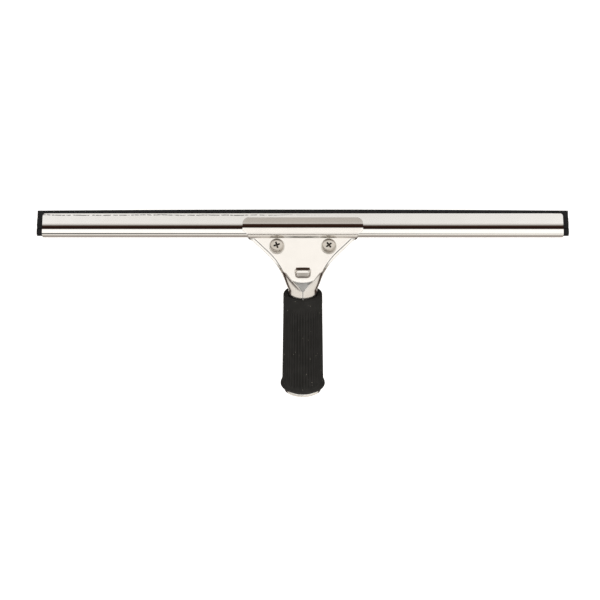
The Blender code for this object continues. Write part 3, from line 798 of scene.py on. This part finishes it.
def rubber_material(name, colour, scuff, roughness, speck_size, bump_depth, specular):
    material, tree, shader = new_material(name, Specular_IOR_Level=specular)
    surface = node(
        tree, "ShaderNodeGroup",
        {"Colour": (*colour, 1), "Scuff Colour": (*scuff, 1), "Roughness": roughness,
         "Speck Size": speck_size},
        node_tree=RUBBER_SURFACE,
    )
    wear = node(tree, "ShaderNodeGroup", {"Broken Scale": 900.0}, node_tree=EDGE_WEAR)
    dress(tree, shader, surface, wear, (*scuff, 1), 0.6, bump_depth)
    return material


def grip_profile():
    inner_low = mix(TUBE_R_LOW, TUBE_R_TOP, 0.005) + FIT_GAP
    inner_top = TUBE_R_TOP + FIT_GAP
    lip_top = GRIP_BOTTOM + GRIP_LIP_HEIGHT
    collar_end = GRIP_TOP - COLLAR_HEIGHT

    def side_point(z, sunk):
        share = (GRIP_TOP - z) / (GRIP_TOP - lip_top)
        return mix(GRIP_R_TOP, GRIP_R_LOW, share) - sunk, z

    top = arc((GRIP_R_TOP - GRIP_ROUND, GRIP_TOP - GRIP_ROUND), GRIP_ROUND, 90, 4, 6)
    foot = arc((GRIP_LIP_R - GRIP_ROUND, GRIP_BOTTOM + GRIP_ROUND), GRIP_ROUND, 0, -90, 6)
    ledge = 0.35 * MM
    side = [side_point(collar_end + ledge, 0), side_point(collar_end - ledge, 0.15 * MM)]
    for i in range(1, 20):
        side.append(side_point(mix(collar_end - ledge, lip_top, i / 19), 0.12 * MM))
    swell = []
    for i in range(1, 7):
        z = mix(lip_top, GRIP_BOTTOM + GRIP_ROUND, i / 6)
        swell.append((mix(GRIP_R_LOW, GRIP_LIP_R, ease(i / 6)), z))
    bore_mouth = [(inner_low + 0.4 * MM, GRIP_BOTTOM), (inner_low, GRIP_BOTTOM + 0.4 * MM)]
    rim = [(inner_top, GRIP_TOP - 0.5 * MM), (inner_top + 0.5 * MM, GRIP_TOP)]
    return [rim[1], *top, *side, *swell, *foot, *bore_mouth, rim[0]]


grip = new_piece("rubber_grip", turned_mesh("rubber_grip", grip_profile(), GROOVES * 12))
grip_rubber = rubber_material(
    "moulded_rubber", GRIP_COLOUR, GRIP_SCUFF,
    roughness=0.66, speck_size=0.16, bump_depth=0.00004, specular=0.14,
)
add_nodes(
    grip, GROOVES_TREE, grooves=float(GROOVES), depth=GROOVE_DEPTH, sharpness=2.6,
    lowest=GRIP_BOTTOM + 3.6 * MM, highest=GRIP_TOP - COLLAR_HEIGHT, run_out=1.6 * MM,
    bore=GRIP_R_TOP - 1.5 * MM, material=grip_rubber,
)
settle(grip)
fit(grip, grip_rubber, "handle", "grip_rubber", "grip_sleeve")


# ---------------------------------------------------------------- clinch nuts
# Two round steel nuts pressed into the handle's back wall, where their knurled barrels hold. The
# screws turn in them.

THREAD_R = 3.0 * MM
NUT_R = 5.2 * MM
NUT_HEIGHT = 3.4 * MM


nut_steel = steel_material(
    "machined_steel", (0.66, 0.64, 0.60), (0.50, 0.48, 0.45),
    grain=(700, 700, 700), roughness=0.26, spread=0.1, ripple=0.5, grain_depth=0.4,
)
for side, x in SCREW_SIDES.items():
    front = -PLATE_GAP / 2
    seat = -(FRONT_FACE + FIT_GAP)
    end = seat - NUT_HEIGHT
    bore = THREAD_R + FIT_GAP
    edge = 0.45 * MM
    profile = [
        (bore + 0.3 * MM, front),
        (NUT_BARREL_R - 0.2 * MM, front),
        (NUT_BARREL_R, front - 0.2 * MM),
        (NUT_BARREL_R, seat),
        *arc((NUT_R - 0.2 * MM, seat - 0.2 * MM), 0.2 * MM, 90, 0, 3),
        (NUT_R, seat - 0.6 * MM),
        (NUT_R, end + edge + 0.4 * MM),
        *arc((NUT_R - edge, end + edge), edge, 0, -90, 4),
        (bore + 0.6 * MM, end),
        (bore, end + 0.6 * MM),
        (bore, front - 0.3 * MM),
    ]
    nut = new_piece(f"nut_{side}", turned_mesh(f"nut_{side}", profile, 240))
    add_nodes(
        nut, GROOVES_TREE, grooves=30.0, depth=0.12 * MM, sharpness=2.0,
        lowest=end + 0.5 * MM, highest=seat - 0.4 * MM, run_out=0.3 * MM,
        bore=NUT_BARREL_R + 0.1 * MM, material=nut_steel,
    )
    settle(nut, on_screw_axis(x))
    fit(nut, nut_steel, "handle", "nut_steel", f"clinch_nut_{side}")


# ---------------------------------------------------------------- channel
# 0.8 mm stainless strip, rolled along its length into a bulb, a waist and two flanges, so that it
# snaps round the blade. The flanges' top corners are rounded off at both ends.

CHANNEL_LENGTH = 400.0 * MM
CHANNEL_HEIGHT = 18.0 * MM
CHANNEL_CORNER_R = 2.2 * MM
CHANNEL_STATIONS = 60
# Colours of painted shade and of painted dark reflection lines, used on the channel and the clamp.
GROOVE_PAINTED_SHADE = (0.042, 0.020, 0.014)
FOLD_SHADE = (0.33, 0.31, 0.29)
DARK_REFLECTION_COLOUR = (0.03, 0.026, 0.024)


def channel_path():
    """(depth, level) of the whole section's middle line, from lip to lip."""
    radii = (2.6 * MM, 1.0 * MM, 1.6 * MM, 2.4 * MM)
    half = rounded(channel_corners(), radii, 8)[1:]
    last, lip = half[-2], half[-1]
    stops = [CHANNEL_CORNER_R * (1 - math.sin(math.pi / 2 * i / 8)) for i in range(8)]
    half = half[:-1] + [mix(lip, last, stop / (lip.y - last.y)) for stop in stops] + [lip]
    return [Vector((-p.x, p.y)) for p in reversed(half)] + half


def channel_mesh():
    stations = [-1 + 2 * i / CHANNEL_STATIONS for i in range(CHANNEL_STATIONS + 1)]
    rows = []
    for depth, level in channel_path():
        above = max(0.0, level - (CHANNEL_HEIGHT - CHANNEL_CORNER_R))
        pulled = CHANNEL_CORNER_R - math.sqrt(max(CHANNEL_CORNER_R**2 - above**2, 0))
        half_length = CHANNEL_LENGTH / 2 - pulled
        rows.append([(half_length * s, -depth, level) for s in stations])
    return sheet_mesh("steel_channel", rows)


def paint_dark_reflection_line(material, level, height, wave, across, dashes):
    """A painted dark line that stands in for a dark reflection along the strip, fading out between
    two places across it and broken into dashes.
    """
    tree = material.node_tree
    shader = tree.nodes["Principled BSDF"]
    band = node(
        tree, "ShaderNodeGroup",
        {"Low": level, "High": level + height, "Fade": 0.25 * MM, "Wave": wave},
        node_tree=HEAD_BAND,
    ).outputs
    broken = noise(tree, object_place(tree), 420.0, 1.0)
    share = band["Mask"]
    for value, (none, full) in ((band["Across"], across), (broken, dashes)):
        kept = node(
            tree, "ShaderNodeMapRange", {"Value": value, "From Min": none, "From Max": full}
        ).outputs[0]
        share = total(tree, "MULTIPLY", share, kept)
    clean = shader.inputs["Base Color"].links[0].from_socket
    tree.links.new(tint(tree, share, clean, (*DARK_REFLECTION_COLOUR, 1)), shader.inputs["Base Color"])


channel = new_piece("steel_channel", channel_mesh())
thicken(channel, CHANNEL_SHEET)
soften_edges(channel, 0.14 * MM)
settle(channel, HEAD)
channel_steel = steel_material(
    "rolled_stainless", (0.93, 0.92, 0.90), (0.90, 0.888, 0.865),
    grain=(60, 2600, 2600), roughness=0.12, spread=0.03, ripple=0.9, grain_depth=0.05,
)
# Painted shade: the channel's fold and waist groove are darkened in the colour.
paint_shade_band(channel_steel, FOLD_SHADE, low=7.4 * MM, high=8.4 * MM, fade=1.9 * MM, roughness=0.3)
paint_shade_band(channel_steel, GROOVE_PAINTED_SHADE, low=5.6 * MM, high=7.9 * MM, fade=0.7 * MM, roughness=0.45)
# Painted reflections: a dark line low on the bulb and a wavy dark line near the flanges' top edge,
# both fading out towards +X.
paint_dark_reflection_line(
    channel_steel, level=1.6 * MM, height=0.45 * MM, wave=0,
    across=(0.16, -0.16), dashes=(0.0, 0.1),
)
paint_dark_reflection_line(
    channel_steel, level=16.5 * MM, height=0.30 * MM, wave=1.6 * MM,
    across=(0.02, -0.05), dashes=(0.36, 0.50),
)
fit(channel, channel_steel, "channel", "channel_steel", "channel")


# ---------------------------------------------------------------- blade
# An extruded strip of soft black rubber. Its bulb fills the channel, its body stands between the
# flanges, and its thin lip wipes the glass. It is cut square at both ends, past the channel's.

BLADE_LENGTH = 408.6 * MM
LIP_HEIGHT = 2.7 * MM
LIP_CROWN = 0.9 * MM
LIP_HALF = 1.3 * MM
BLADE_STEP = 14.3 * MM
STEP_HEIGHT = 0.4 * MM
BLADE_STATIONS = 44
MOST_CROWN = 1 - 1 / 121  # the lip's middle is level, not a peak
BLADE_COLOUR = (0.0040, 0.0040, 0.0043)
BLADE_SCUFF = (0.010, 0.010, 0.011)


def blade_outline(tip):
    """Closed (depth, level) outline of the blade, its lip's edge at level tip."""
    inward = CHANNEL_SHEET / 2 + FIT_GAP
    base, bulb_top, waist, body = offset(channel_corners(), -inward)
    mouth = channel_corners()[-1] - Vector((inward, 0))
    step = mix(body, mouth, (BLADE_STEP - body.y) / (mouth.y - body.y))
    corners = [
        Vector((0, base.y)), base, bulb_top, waist, body, step,
        Vector((LIP_HALF, BLADE_STEP + STEP_HEIGHT)), Vector((LIP_HALF, tip)), Vector((0, tip)),
    ]
    radii = (2.3 * MM, 0.3 * MM, 2.2 * MM, 0.3 * MM, 0.15 * MM, 0.15 * MM, 0.12 * MM)
    half = rounded(corners, radii, 5)[:-1]
    return half + [Vector((-p.x, p.y)) for p in reversed(half[1:])]


def blade_mesh():
    """The strip as rings of its outline, its lip a little higher in the middle of its length."""
    shape = bmesh.new()
    rings = []
    for i in range(BLADE_STATIONS + 1):
        share = 2 * i / BLADE_STATIONS - 1
        tip = CHANNEL_HEIGHT + LIP_HEIGHT + LIP_CROWN * min(1 - share**2, MOST_CROWN)
        x = share * BLADE_LENGTH / 2
        rings.append([shape.verts.new((x, -depth, level)) for depth, level in blade_outline(tip)])
    count = len(rings[0])
    for a, b in zip(rings, rings[1:]):
        for i in range(count):
            j = (i + 1) % count
            shape.faces.new((a[i], a[j], b[j], b[i]))
    shape.faces.new(rings[0])
    shape.faces.new(rings[-1])
    bmesh.ops.recalc_face_normals(shape, faces=shape.faces)
    return mesh_from("rubber_blade", shape)


blade = new_piece("wiping_rubber", blade_mesh())
settle(blade, HEAD)
blade_rubber = rubber_material(
    "blade_rubber", BLADE_COLOUR, BLADE_SCUFF,
    roughness=0.42, speck_size=0.05, bump_depth=0.000015, specular=0.16,
)
fit(blade, blade_rubber, "blade", "blade_rubber", "rubber_blade")


# ---------------------------------------------------------------- clamp plate
# The front jaw, pressed from the same sheet as the handle. Two screws pull it against the channel,
# and it rocks on a foot pressed into its lower end, which rests on the handle's tray.

TRAY_CLEARANCE = 0.3 * MM
TRAY_INSET = SHEET + TRAY_CLEARANCE
CLAMP_SHOULDER = FLANGE_TOP + 2 * TRAY_CLEARANCE
PLATE_BOTTOM = -36.4 * MM
PLATE_BOTTOM_R = 20.3 * MM
PLATE_BOTTOM_CORNER_R = 4.5 * MM
FOOT_LEVEL = -28.6 * MM
FOOT_LENGTH = 14.6 * MM
FOOT_HEIGHT = 8.8 * MM
FOOT_WALL = 2.1 * MM
FOOT_PRESS = BACK_WALL + PLATE_GAP / 2 - FIT_GAP - MID
HOLE_CLEARANCE = 0.45 * MM
# Colour of the painted shade on the pressed foot's upper wall.
FOOT_PAINTED_SHADE = (0.09, 0.055, 0.04)
FINE_SHARE = 0.64  # of the plate's half width, where its points are close


def bottom_arc(x):
    return Vector((x, PLATE_BOTTOM + PLATE_BOTTOM_R - math.sqrt(PLATE_BOTTOM_R**2 - x**2)))


def foot_dip(x, level):
    """How far the pressed foot sinks the sheet at a point."""
    straight = (FOOT_LENGTH - FOOT_HEIGHT) / 2
    from_spine = math.hypot(max(abs(x) - straight, 0), level - FOOT_LEVEL)
    return FOOT_PRESS * ease((FOOT_HEIGHT / 2 - from_spine) / FOOT_WALL)


def clamp_row(end, sag, jaw):
    """A row that ends at (x, level), dips by sag in the middle and is fine round the foot."""
    near = FINE_SHARE
    shares = [near * i / 30 for i in range(31)] + [near + (1 - near) * i / 14 for i in range(1, 15)]
    row = []
    for share in [-s for s in reversed(shares[1:])] + shares:
        level = end.y - sag * (1 - share**2)
        x = end.x * share
        row.append((x, foot_dip(x, level) - at_level(jaw, level), level))
    return row


def clamp_rows():
    jaw = jaw_path()
    corner = bottom_arc(0)
    for _ in range(30):
        corner = bottom_arc(plate_half_width(corner.y, TRAY_INSET))
    side_end = corner.y + PLATE_BOTTOM_CORNER_R
    lowest = bottom_arc(corner.x - PLATE_BOTTOM_CORNER_R)
    side = Vector((plate_half_width(side_end, TRAY_INSET), side_end))
    ends = rounded([lowest, corner, side], [PLATE_BOTTOM_CORNER_R], 10)
    fine_top = FOOT_LEVEL + 6 * MM
    steps = round((fine_top - side_end) / (0.4 * MM))
    levels = [mix(side_end, fine_top, (i + 1) / steps) for i in range(steps)]
    levels += [mix(fine_top, CLAMP_SHOULDER, (i + 1) / 12) for i in range(12)]
    ends += [Vector((plate_half_width(level, TRAY_INSET), level)) for level in levels]
    sag = lowest.y - PLATE_BOTTOM
    last = len(ends) - 1
    rows = [clamp_row(end, sag * (1 - i / last), jaw) for i, end in enumerate(ends)]
    start = CLAMP_SHOULDER + 0.5 * MM
    for level in [start] + [x for x in jaw_levels() if x > start + 0.2 * MM]:
        rows.append(clamp_row(Vector((plate_half_width(level), level)), 0, jaw))
    return rows


clamp = new_piece("steel_clamp", sheet_mesh("steel_clamp", clamp_rows()))
thicken(clamp, SHEET)
settle(clamp, HEAD)
clamp.modifiers.clear()
screw_holes = [round_cutter(THREAD_R + HOLE_CLEARANCE, x) for x in SCREW_SIDES.values()]
for hole in screw_holes:
    cut(clamp, hole)
soften_edges(clamp, 0.4 * MM, segments=3)
settle(clamp)
drop(*screw_holes)
clamp_steel = steel_material(
    "satin_stainless", (0.85, 0.82, 0.785), (0.81, 0.78, 0.745),
    grain=(420, 420, 420), roughness=0.18, spread=0.04, ripple=1.6, grain_depth=0.07,
)
# Painted shade: the jaw's fold and waist groove are darkened in the colour.
paint_shade_band(clamp_steel, FOLD_SHADE, low=8.2 * MM, high=8.8 * MM, fade=1.2 * MM, roughness=0.3)
paint_shade_band(clamp_steel, GROOVE_PAINTED_SHADE, low=6.4 * MM, high=8.5 * MM, fade=0.8 * MM, roughness=0.45)
# Painted shade on the upper wall of the pressed foot.
paint_shade_band(
    clamp_steel, FOOT_PAINTED_SHADE, low=-25.9 * MM, high=-24.9 * MM, fade=0.5 * MM, roughness=0.4,
    half_width=5.0 * MM,
)
# Painted shadow: a thin dark line in the pressed foot's lower wall.
paint_shade_band(
    clamp_steel, FOLD_SHADE, low=-31.8 * MM, high=-31.5 * MM, fade=0.3 * MM, roughness=0.3,
    half_width=4.2 * MM,
)
fit(clamp, clamp_steel, "clamp", "clamp_steel", "clamp_plate")


# ---------------------------------------------------------------- washers
# Flat stainless washers under the screws' heads, blanked from sheet, so one edge is slightly round.

WASHER_R = 6.0 * MM
WASHER_THICKNESS = 1.0 * MM

washer_steel = steel_material(
    "blanked_stainless", (0.74, 0.72, 0.68), (0.58, 0.56, 0.52),
    grain=(600, 600, 600), roughness=0.2, spread=0.08, ripple=0.6, grain_depth=0.3,
)
for side, x in SCREW_SIDES.items():
    low = FRONT_FACE + FIT_GAP
    high = low + WASHER_THICKNESS
    bore = THREAD_R + FIT_GAP
    profile = [
        (bore + 0.15 * MM, high),
        *arc((WASHER_R - 0.25 * MM, high - 0.25 * MM), 0.25 * MM, 90, 0, 4),
        (WASHER_R, low + 0.1 * MM),
        (WASHER_R - 0.1 * MM, low),
        (bore, low),
        (bore, high - 0.15 * MM),
    ]
    washer = new_piece(f"flat_washer_{side}", turned_mesh(f"flat_washer_{side}", profile, 96))
    settle(washer, on_screw_axis(x))
    fit(washer, washer_steel, f"{side}_washer", "washer_steel", f"washer_{side}")


# ---------------------------------------------------------------- screws
# M6 pan-head screws of stainless steel with a cross recess. They hold the clamp plate down and are
# slackened to slide the channel or to change the blade.

HEAD_R = 5.4 * MM
HEAD_HEIGHT = 3.6 * MM
HEAD_ROUND = 2.2 * MM
RECESS_REACH = 2.5 * MM
RECESS_SLOT = 1.3 * MM
RECESS_DEPTH = 2.2 * MM
SCREW_TIP = 1.2 * MM
THREAD_PITCH = 1.0 * MM
SCREW_TURNS = {"left": math.radians(18), "right": math.radians(38)}


def thread_tree():
    """Geometry nodes: a thread's ridge, wound round Z upwards from the origin."""
    tree, given, out = new_group(
        "thread",
        "GeometryNodeTree",
        {"Radius": 0.003, "Pitch": 0.001, "Length": 0.01, "Ridge": 0.0003, "Material": "Material"},
        {"Geometry": "Geometry"},
    )
    radius, length = given["Radius"], given["Length"]
    turns = total(tree, "DIVIDE", length, given["Pitch"])
    helix = node(
        tree, "GeometryNodeCurveSpiral",
        {"Resolution": 40, "Rotations": turns, "Start Radius": radius, "End Radius": radius,
         "Height": length},
    ).outputs[0]
    ridge = node(
        tree, "GeometryNodeCurvePrimitiveCircle", {"Resolution": 4, "Radius": given["Ridge"]}
    ).outputs[0]
    made = node(
        tree, "GeometryNodeCurveToMesh", {"Curve": helix, "Profile Curve": ridge, "Fill Caps": True}
    ).outputs[0]
    end_tree(tree, given, out, made)
    return tree


THREAD_TREE = thread_tree()


def recess_cutter(top, turn):
    """A cross whose arms narrow towards the bottom."""
    shape = bmesh.new()
    rings = []
    for level, reach, half in (
        (top + 0.6 * MM, RECESS_REACH * 1.15, RECESS_SLOT * 0.56),
        (top - RECESS_DEPTH, RECESS_REACH * 0.45, RECESS_SLOT * 0.3),
    ):
        ring = []
        for quarter in range(4):
            spin = Matrix.Rotation(turn + quarter * math.pi / 2, 3, "Z")
            for x, y in ((reach, -half), (reach, half), (half, half)):
                ring.append(shape.verts.new(spin @ Vector((x, y, level))))
        rings.append(ring)
    for i in range(12):
        j = (i + 1) % 12
        shape.faces.new((rings[0][i], rings[1][i], rings[1][j], rings[0][j]))
    for ring in rings:
        shape.faces.new(ring)
    bmesh.ops.recalc_face_normals(shape, faces=shape.faces)
    return new_piece("recess", mesh_from("recess", shape))


screw_steel = steel_material(
    "bright_stainless", (0.64, 0.60, 0.55), (0.44, 0.40, 0.35),
    grain=(900, 900, 900), roughness=0.2, spread=0.1, ripple=0.8, grain_depth=0.35,
)
# Painted shade: the cross recess gets a near-black steel that stands in for the shade inside it.
recess_steel = steel_material(
    "recess_steel", (0.10, 0.085, 0.07), (0.06, 0.05, 0.04),
    grain=(900, 900, 900), roughness=0.45, spread=0.1, ripple=0.5, grain_depth=0.3,
)
for side, x in SCREW_SIDES.items():
    under = FRONT_FACE + WASHER_THICKNESS + 2 * FIT_GAP
    top = under + HEAD_HEIGHT
    tip = -(FRONT_FACE + FIT_GAP + NUT_HEIGHT + SCREW_TIP)
    core = THREAD_R - 0.22 * MM
    profile = [
        (0, top),
        (HEAD_R - HEAD_ROUND - 0.9 * MM, top - 0.02 * MM),
        *arc((HEAD_R - HEAD_ROUND, top - HEAD_ROUND), HEAD_ROUND, 88, 0, 12),
        (HEAD_R, under + 0.15 * MM),
        (HEAD_R - 0.15 * MM, under),
        (core, under),
        (core, tip + 0.6 * MM),
        (core - 0.5 * MM, tip),
        (0, tip),
    ]
    screw = new_piece(f"pan_head_screw_{side}", turned_mesh(f"screw_{side}", profile, 96))
    screw.data.materials.append(screw_steel)
    cutter = recess_cutter(top, SCREW_TURNS[side])
    cutter.data.materials.append(recess_steel)
    cut(screw, cutter)
    screw.modifiers["cut"].material_mode = "TRANSFER"
    soften_edges(screw, 0.07 * MM, angle=35)
    settle(screw, on_screw_axis(x))
    drop(cutter)
    fit(screw, screw_steel, f"{side}_screw", "screw_steel", f"clamp_screw_{side}")
    thread = new_piece(f"screw_thread_{side}", bpy.data.meshes.new(f"screw_thread_{side}"))
    add_nodes(
        thread, THREAD_TREE, radius=THREAD_R - 0.26 * MM, pitch=THREAD_PITCH,
        length=under - tip - 1.2 * MM, ridge=0.25 * MM, material=screw_steel,
    )
    settle(thread, on_screw_axis(x) @ Matrix.Translation((0, 0, tip + 0.5 * MM)))
    fit(thread, screw_steel, f"{side}_screw", "screw_steel")


# ---------------------------------------------------------------- floor, light and camera
# A plain white floor well below the tool, a soft studio round it, and the camera 27 degrees above
# the horizon in front of the screws.

FLOOR_LEVEL = -0.55
FLOOR_HALF = 30
FLOOR_CORNERS = ((-1, -1), (1, -1), (1, 1), (-1, 1))
CAMERA_AIM = Vector((-0.00215, 0.0200, 0.0672))
CAMERA_DISTANCE = 1.2
CAMERA_RISE = math.radians(27)
LENS = 92.6

floor_mesh = bpy.data.meshes.new("floor")
corners = [(x * FLOOR_HALF, y * FLOOR_HALF, FLOOR_LEVEL) for x, y in FLOOR_CORNERS]
floor_mesh.from_pydata(corners, [], [(0, 1, 2, 3)])
floor = new_piece("floor", floor_mesh)
floor_paint = new_material(
    "white_floor", Base_Color=(0.95, 0.95, 0.95, 1), Roughness=0.9,
    Emission_Color=(1, 1, 1, 1), Emission_Strength=0.5,
)[0]
floor.data.materials.append(floor_paint)
floor.visible_glossy = False

world = bpy.data.worlds.new("studio")
bpy.context.scene.world = world
world.use_nodes = True
sky = world.node_tree
sky.nodes.clear()
direction = node(sky, "ShaderNodeTexCoord", {}).outputs["Generated"]
way = node(sky, "ShaderNodeSeparateXYZ", {0: direction}).outputs
share = total(sky, "MULTIPLY_ADD", way["Z"], 0.5, 0.5)
bands = node(sky, "ShaderNodeValToRGB", {"Fac": share})
# The studio's colour from straight down, -1, to straight up, 1.
STUDIO_BANDS = [
    (-1.00, (0.30, 0.26, 0.23)),
    (-0.86, (0.32, 0.28, 0.25)),
    (-0.70, (0.78, 0.74, 0.69)),
    (-0.34, (0.92, 0.88, 0.82)),
    (0.17, (0.96, 0.94, 0.90)),
    (0.55, (1.14, 1.12, 1.08)),
    (0.74, (1.19, 1.16, 1.11)),
    (0.87, (1.07, 1.06, 1.04)),
    (0.925, (0.66, 0.63, 0.59)),
    (0.95, (0.48, 0.45, 0.41)),
    (1.00, (0.42, 0.39, 0.36)),
]
ramp = bands.color_ramp
while len(ramp.elements) > 1:
    ramp.elements.remove(ramp.elements[-1])
for i, (z, colour) in enumerate(STUDIO_BANDS):
    stop = ramp.elements[0] if i == 0 else ramp.elements.new(z * 0.5 + 0.5)
    stop.position = z * 0.5 + 0.5
    stop.color = (*colour, 1)


def product(*masks):
    result = masks[0]
    for mask in masks[1:]:
        result = total(sky, "MULTIPLY", result, mask)
    return result


# Dark parts of the room: behind and above the tool, at both sides, and a strip low on the left.
DARK_ROOM = (0.045, 0.027, 0.020, 1)
rear = smooth_step(sky, way["Y"], 0.12, 0.32)
behind = product(rear, smooth_step(sky, way["Z"], -0.10, 0.08))
flags = product(rear, smooth_step(sky, total(sky, "ABSOLUTE", way["X"]), 0.40, 0.62))
strip = product(
    smooth_step(sky, way["Z"], -0.20, -0.15),
    smooth_step(sky, way["Z"], 0.08, 0.02),
    smooth_step(sky, way["X"], 0.2, -0.05, lowest=0.1),
)
dark = total(sky, "MAXIMUM", total(sky, "MAXIMUM", behind, flags), strip)
room = tint(sky, dark, bands.outputs[0], DARK_ROOM)
studio = node(sky, "ShaderNodeBackground", {"Color": room, "Strength": 1.0})
backdrop = node(sky, "ShaderNodeBackground", {"Color": (1, 1, 1, 1), "Strength": 1.1})
seen = node(sky, "ShaderNodeLightPath", {}).outputs["Is Camera Ray"]
both = node(sky, "ShaderNodeMixShader", {0: seen, 1: studio.outputs[0], 2: backdrop.outputs[0]})
node(sky, "ShaderNodeOutputWorld", {"Surface": both.outputs[0]})


def soft_light(name, place, aim, side, watts, colour):
    light = bpy.data.lights.new(name, "AREA")
    light.shape = "RECTANGLE"
    light.size = light.size_y = side
    light.energy = watts
    light.color = colour
    lamp = bpy.data.objects.new(name, light)
    bpy.context.scene.collection.objects.link(lamp)
    lamp.location = place
    lamp.rotation_euler = (Vector(aim) - Vector(place)).to_track_quat("-Z", "Y").to_euler()
    lamp.visible_glossy = False


MIDDLE = (0, 0, 0.08)
soft_light("key", (-1.0, -1.3, 1.7), MIDDLE, side=1.2, watts=26, colour=(1, 0.98, 0.95))
soft_light("fill", (1.4, -1.0, 1.0), MIDDLE, side=1.0, watts=12, colour=(0.95, 0.98, 1))

camera = bpy.data.objects.new("camera", bpy.data.cameras.new("camera"))
bpy.context.scene.collection.objects.link(camera)
camera.data.lens = LENS
camera.data.sensor_width = 36.0
camera.data.clip_start = 0.01
camera.data.clip_end = 100
towards = Vector((0, -math.cos(CAMERA_RISE), math.sin(CAMERA_RISE)))
camera.location = CAMERA_AIM + towards * CAMERA_DISTANCE
camera.rotation_euler = (-towards).to_track_quat("-Z", "Y").to_euler()
bpy.context.scene.camera = camera
bpy.context.scene.view_settings.view_transform = "Standard"
bpy.context.scene.cycles.max_bounces = 16
bpy.context.scene.cycles.glossy_bounces = 16
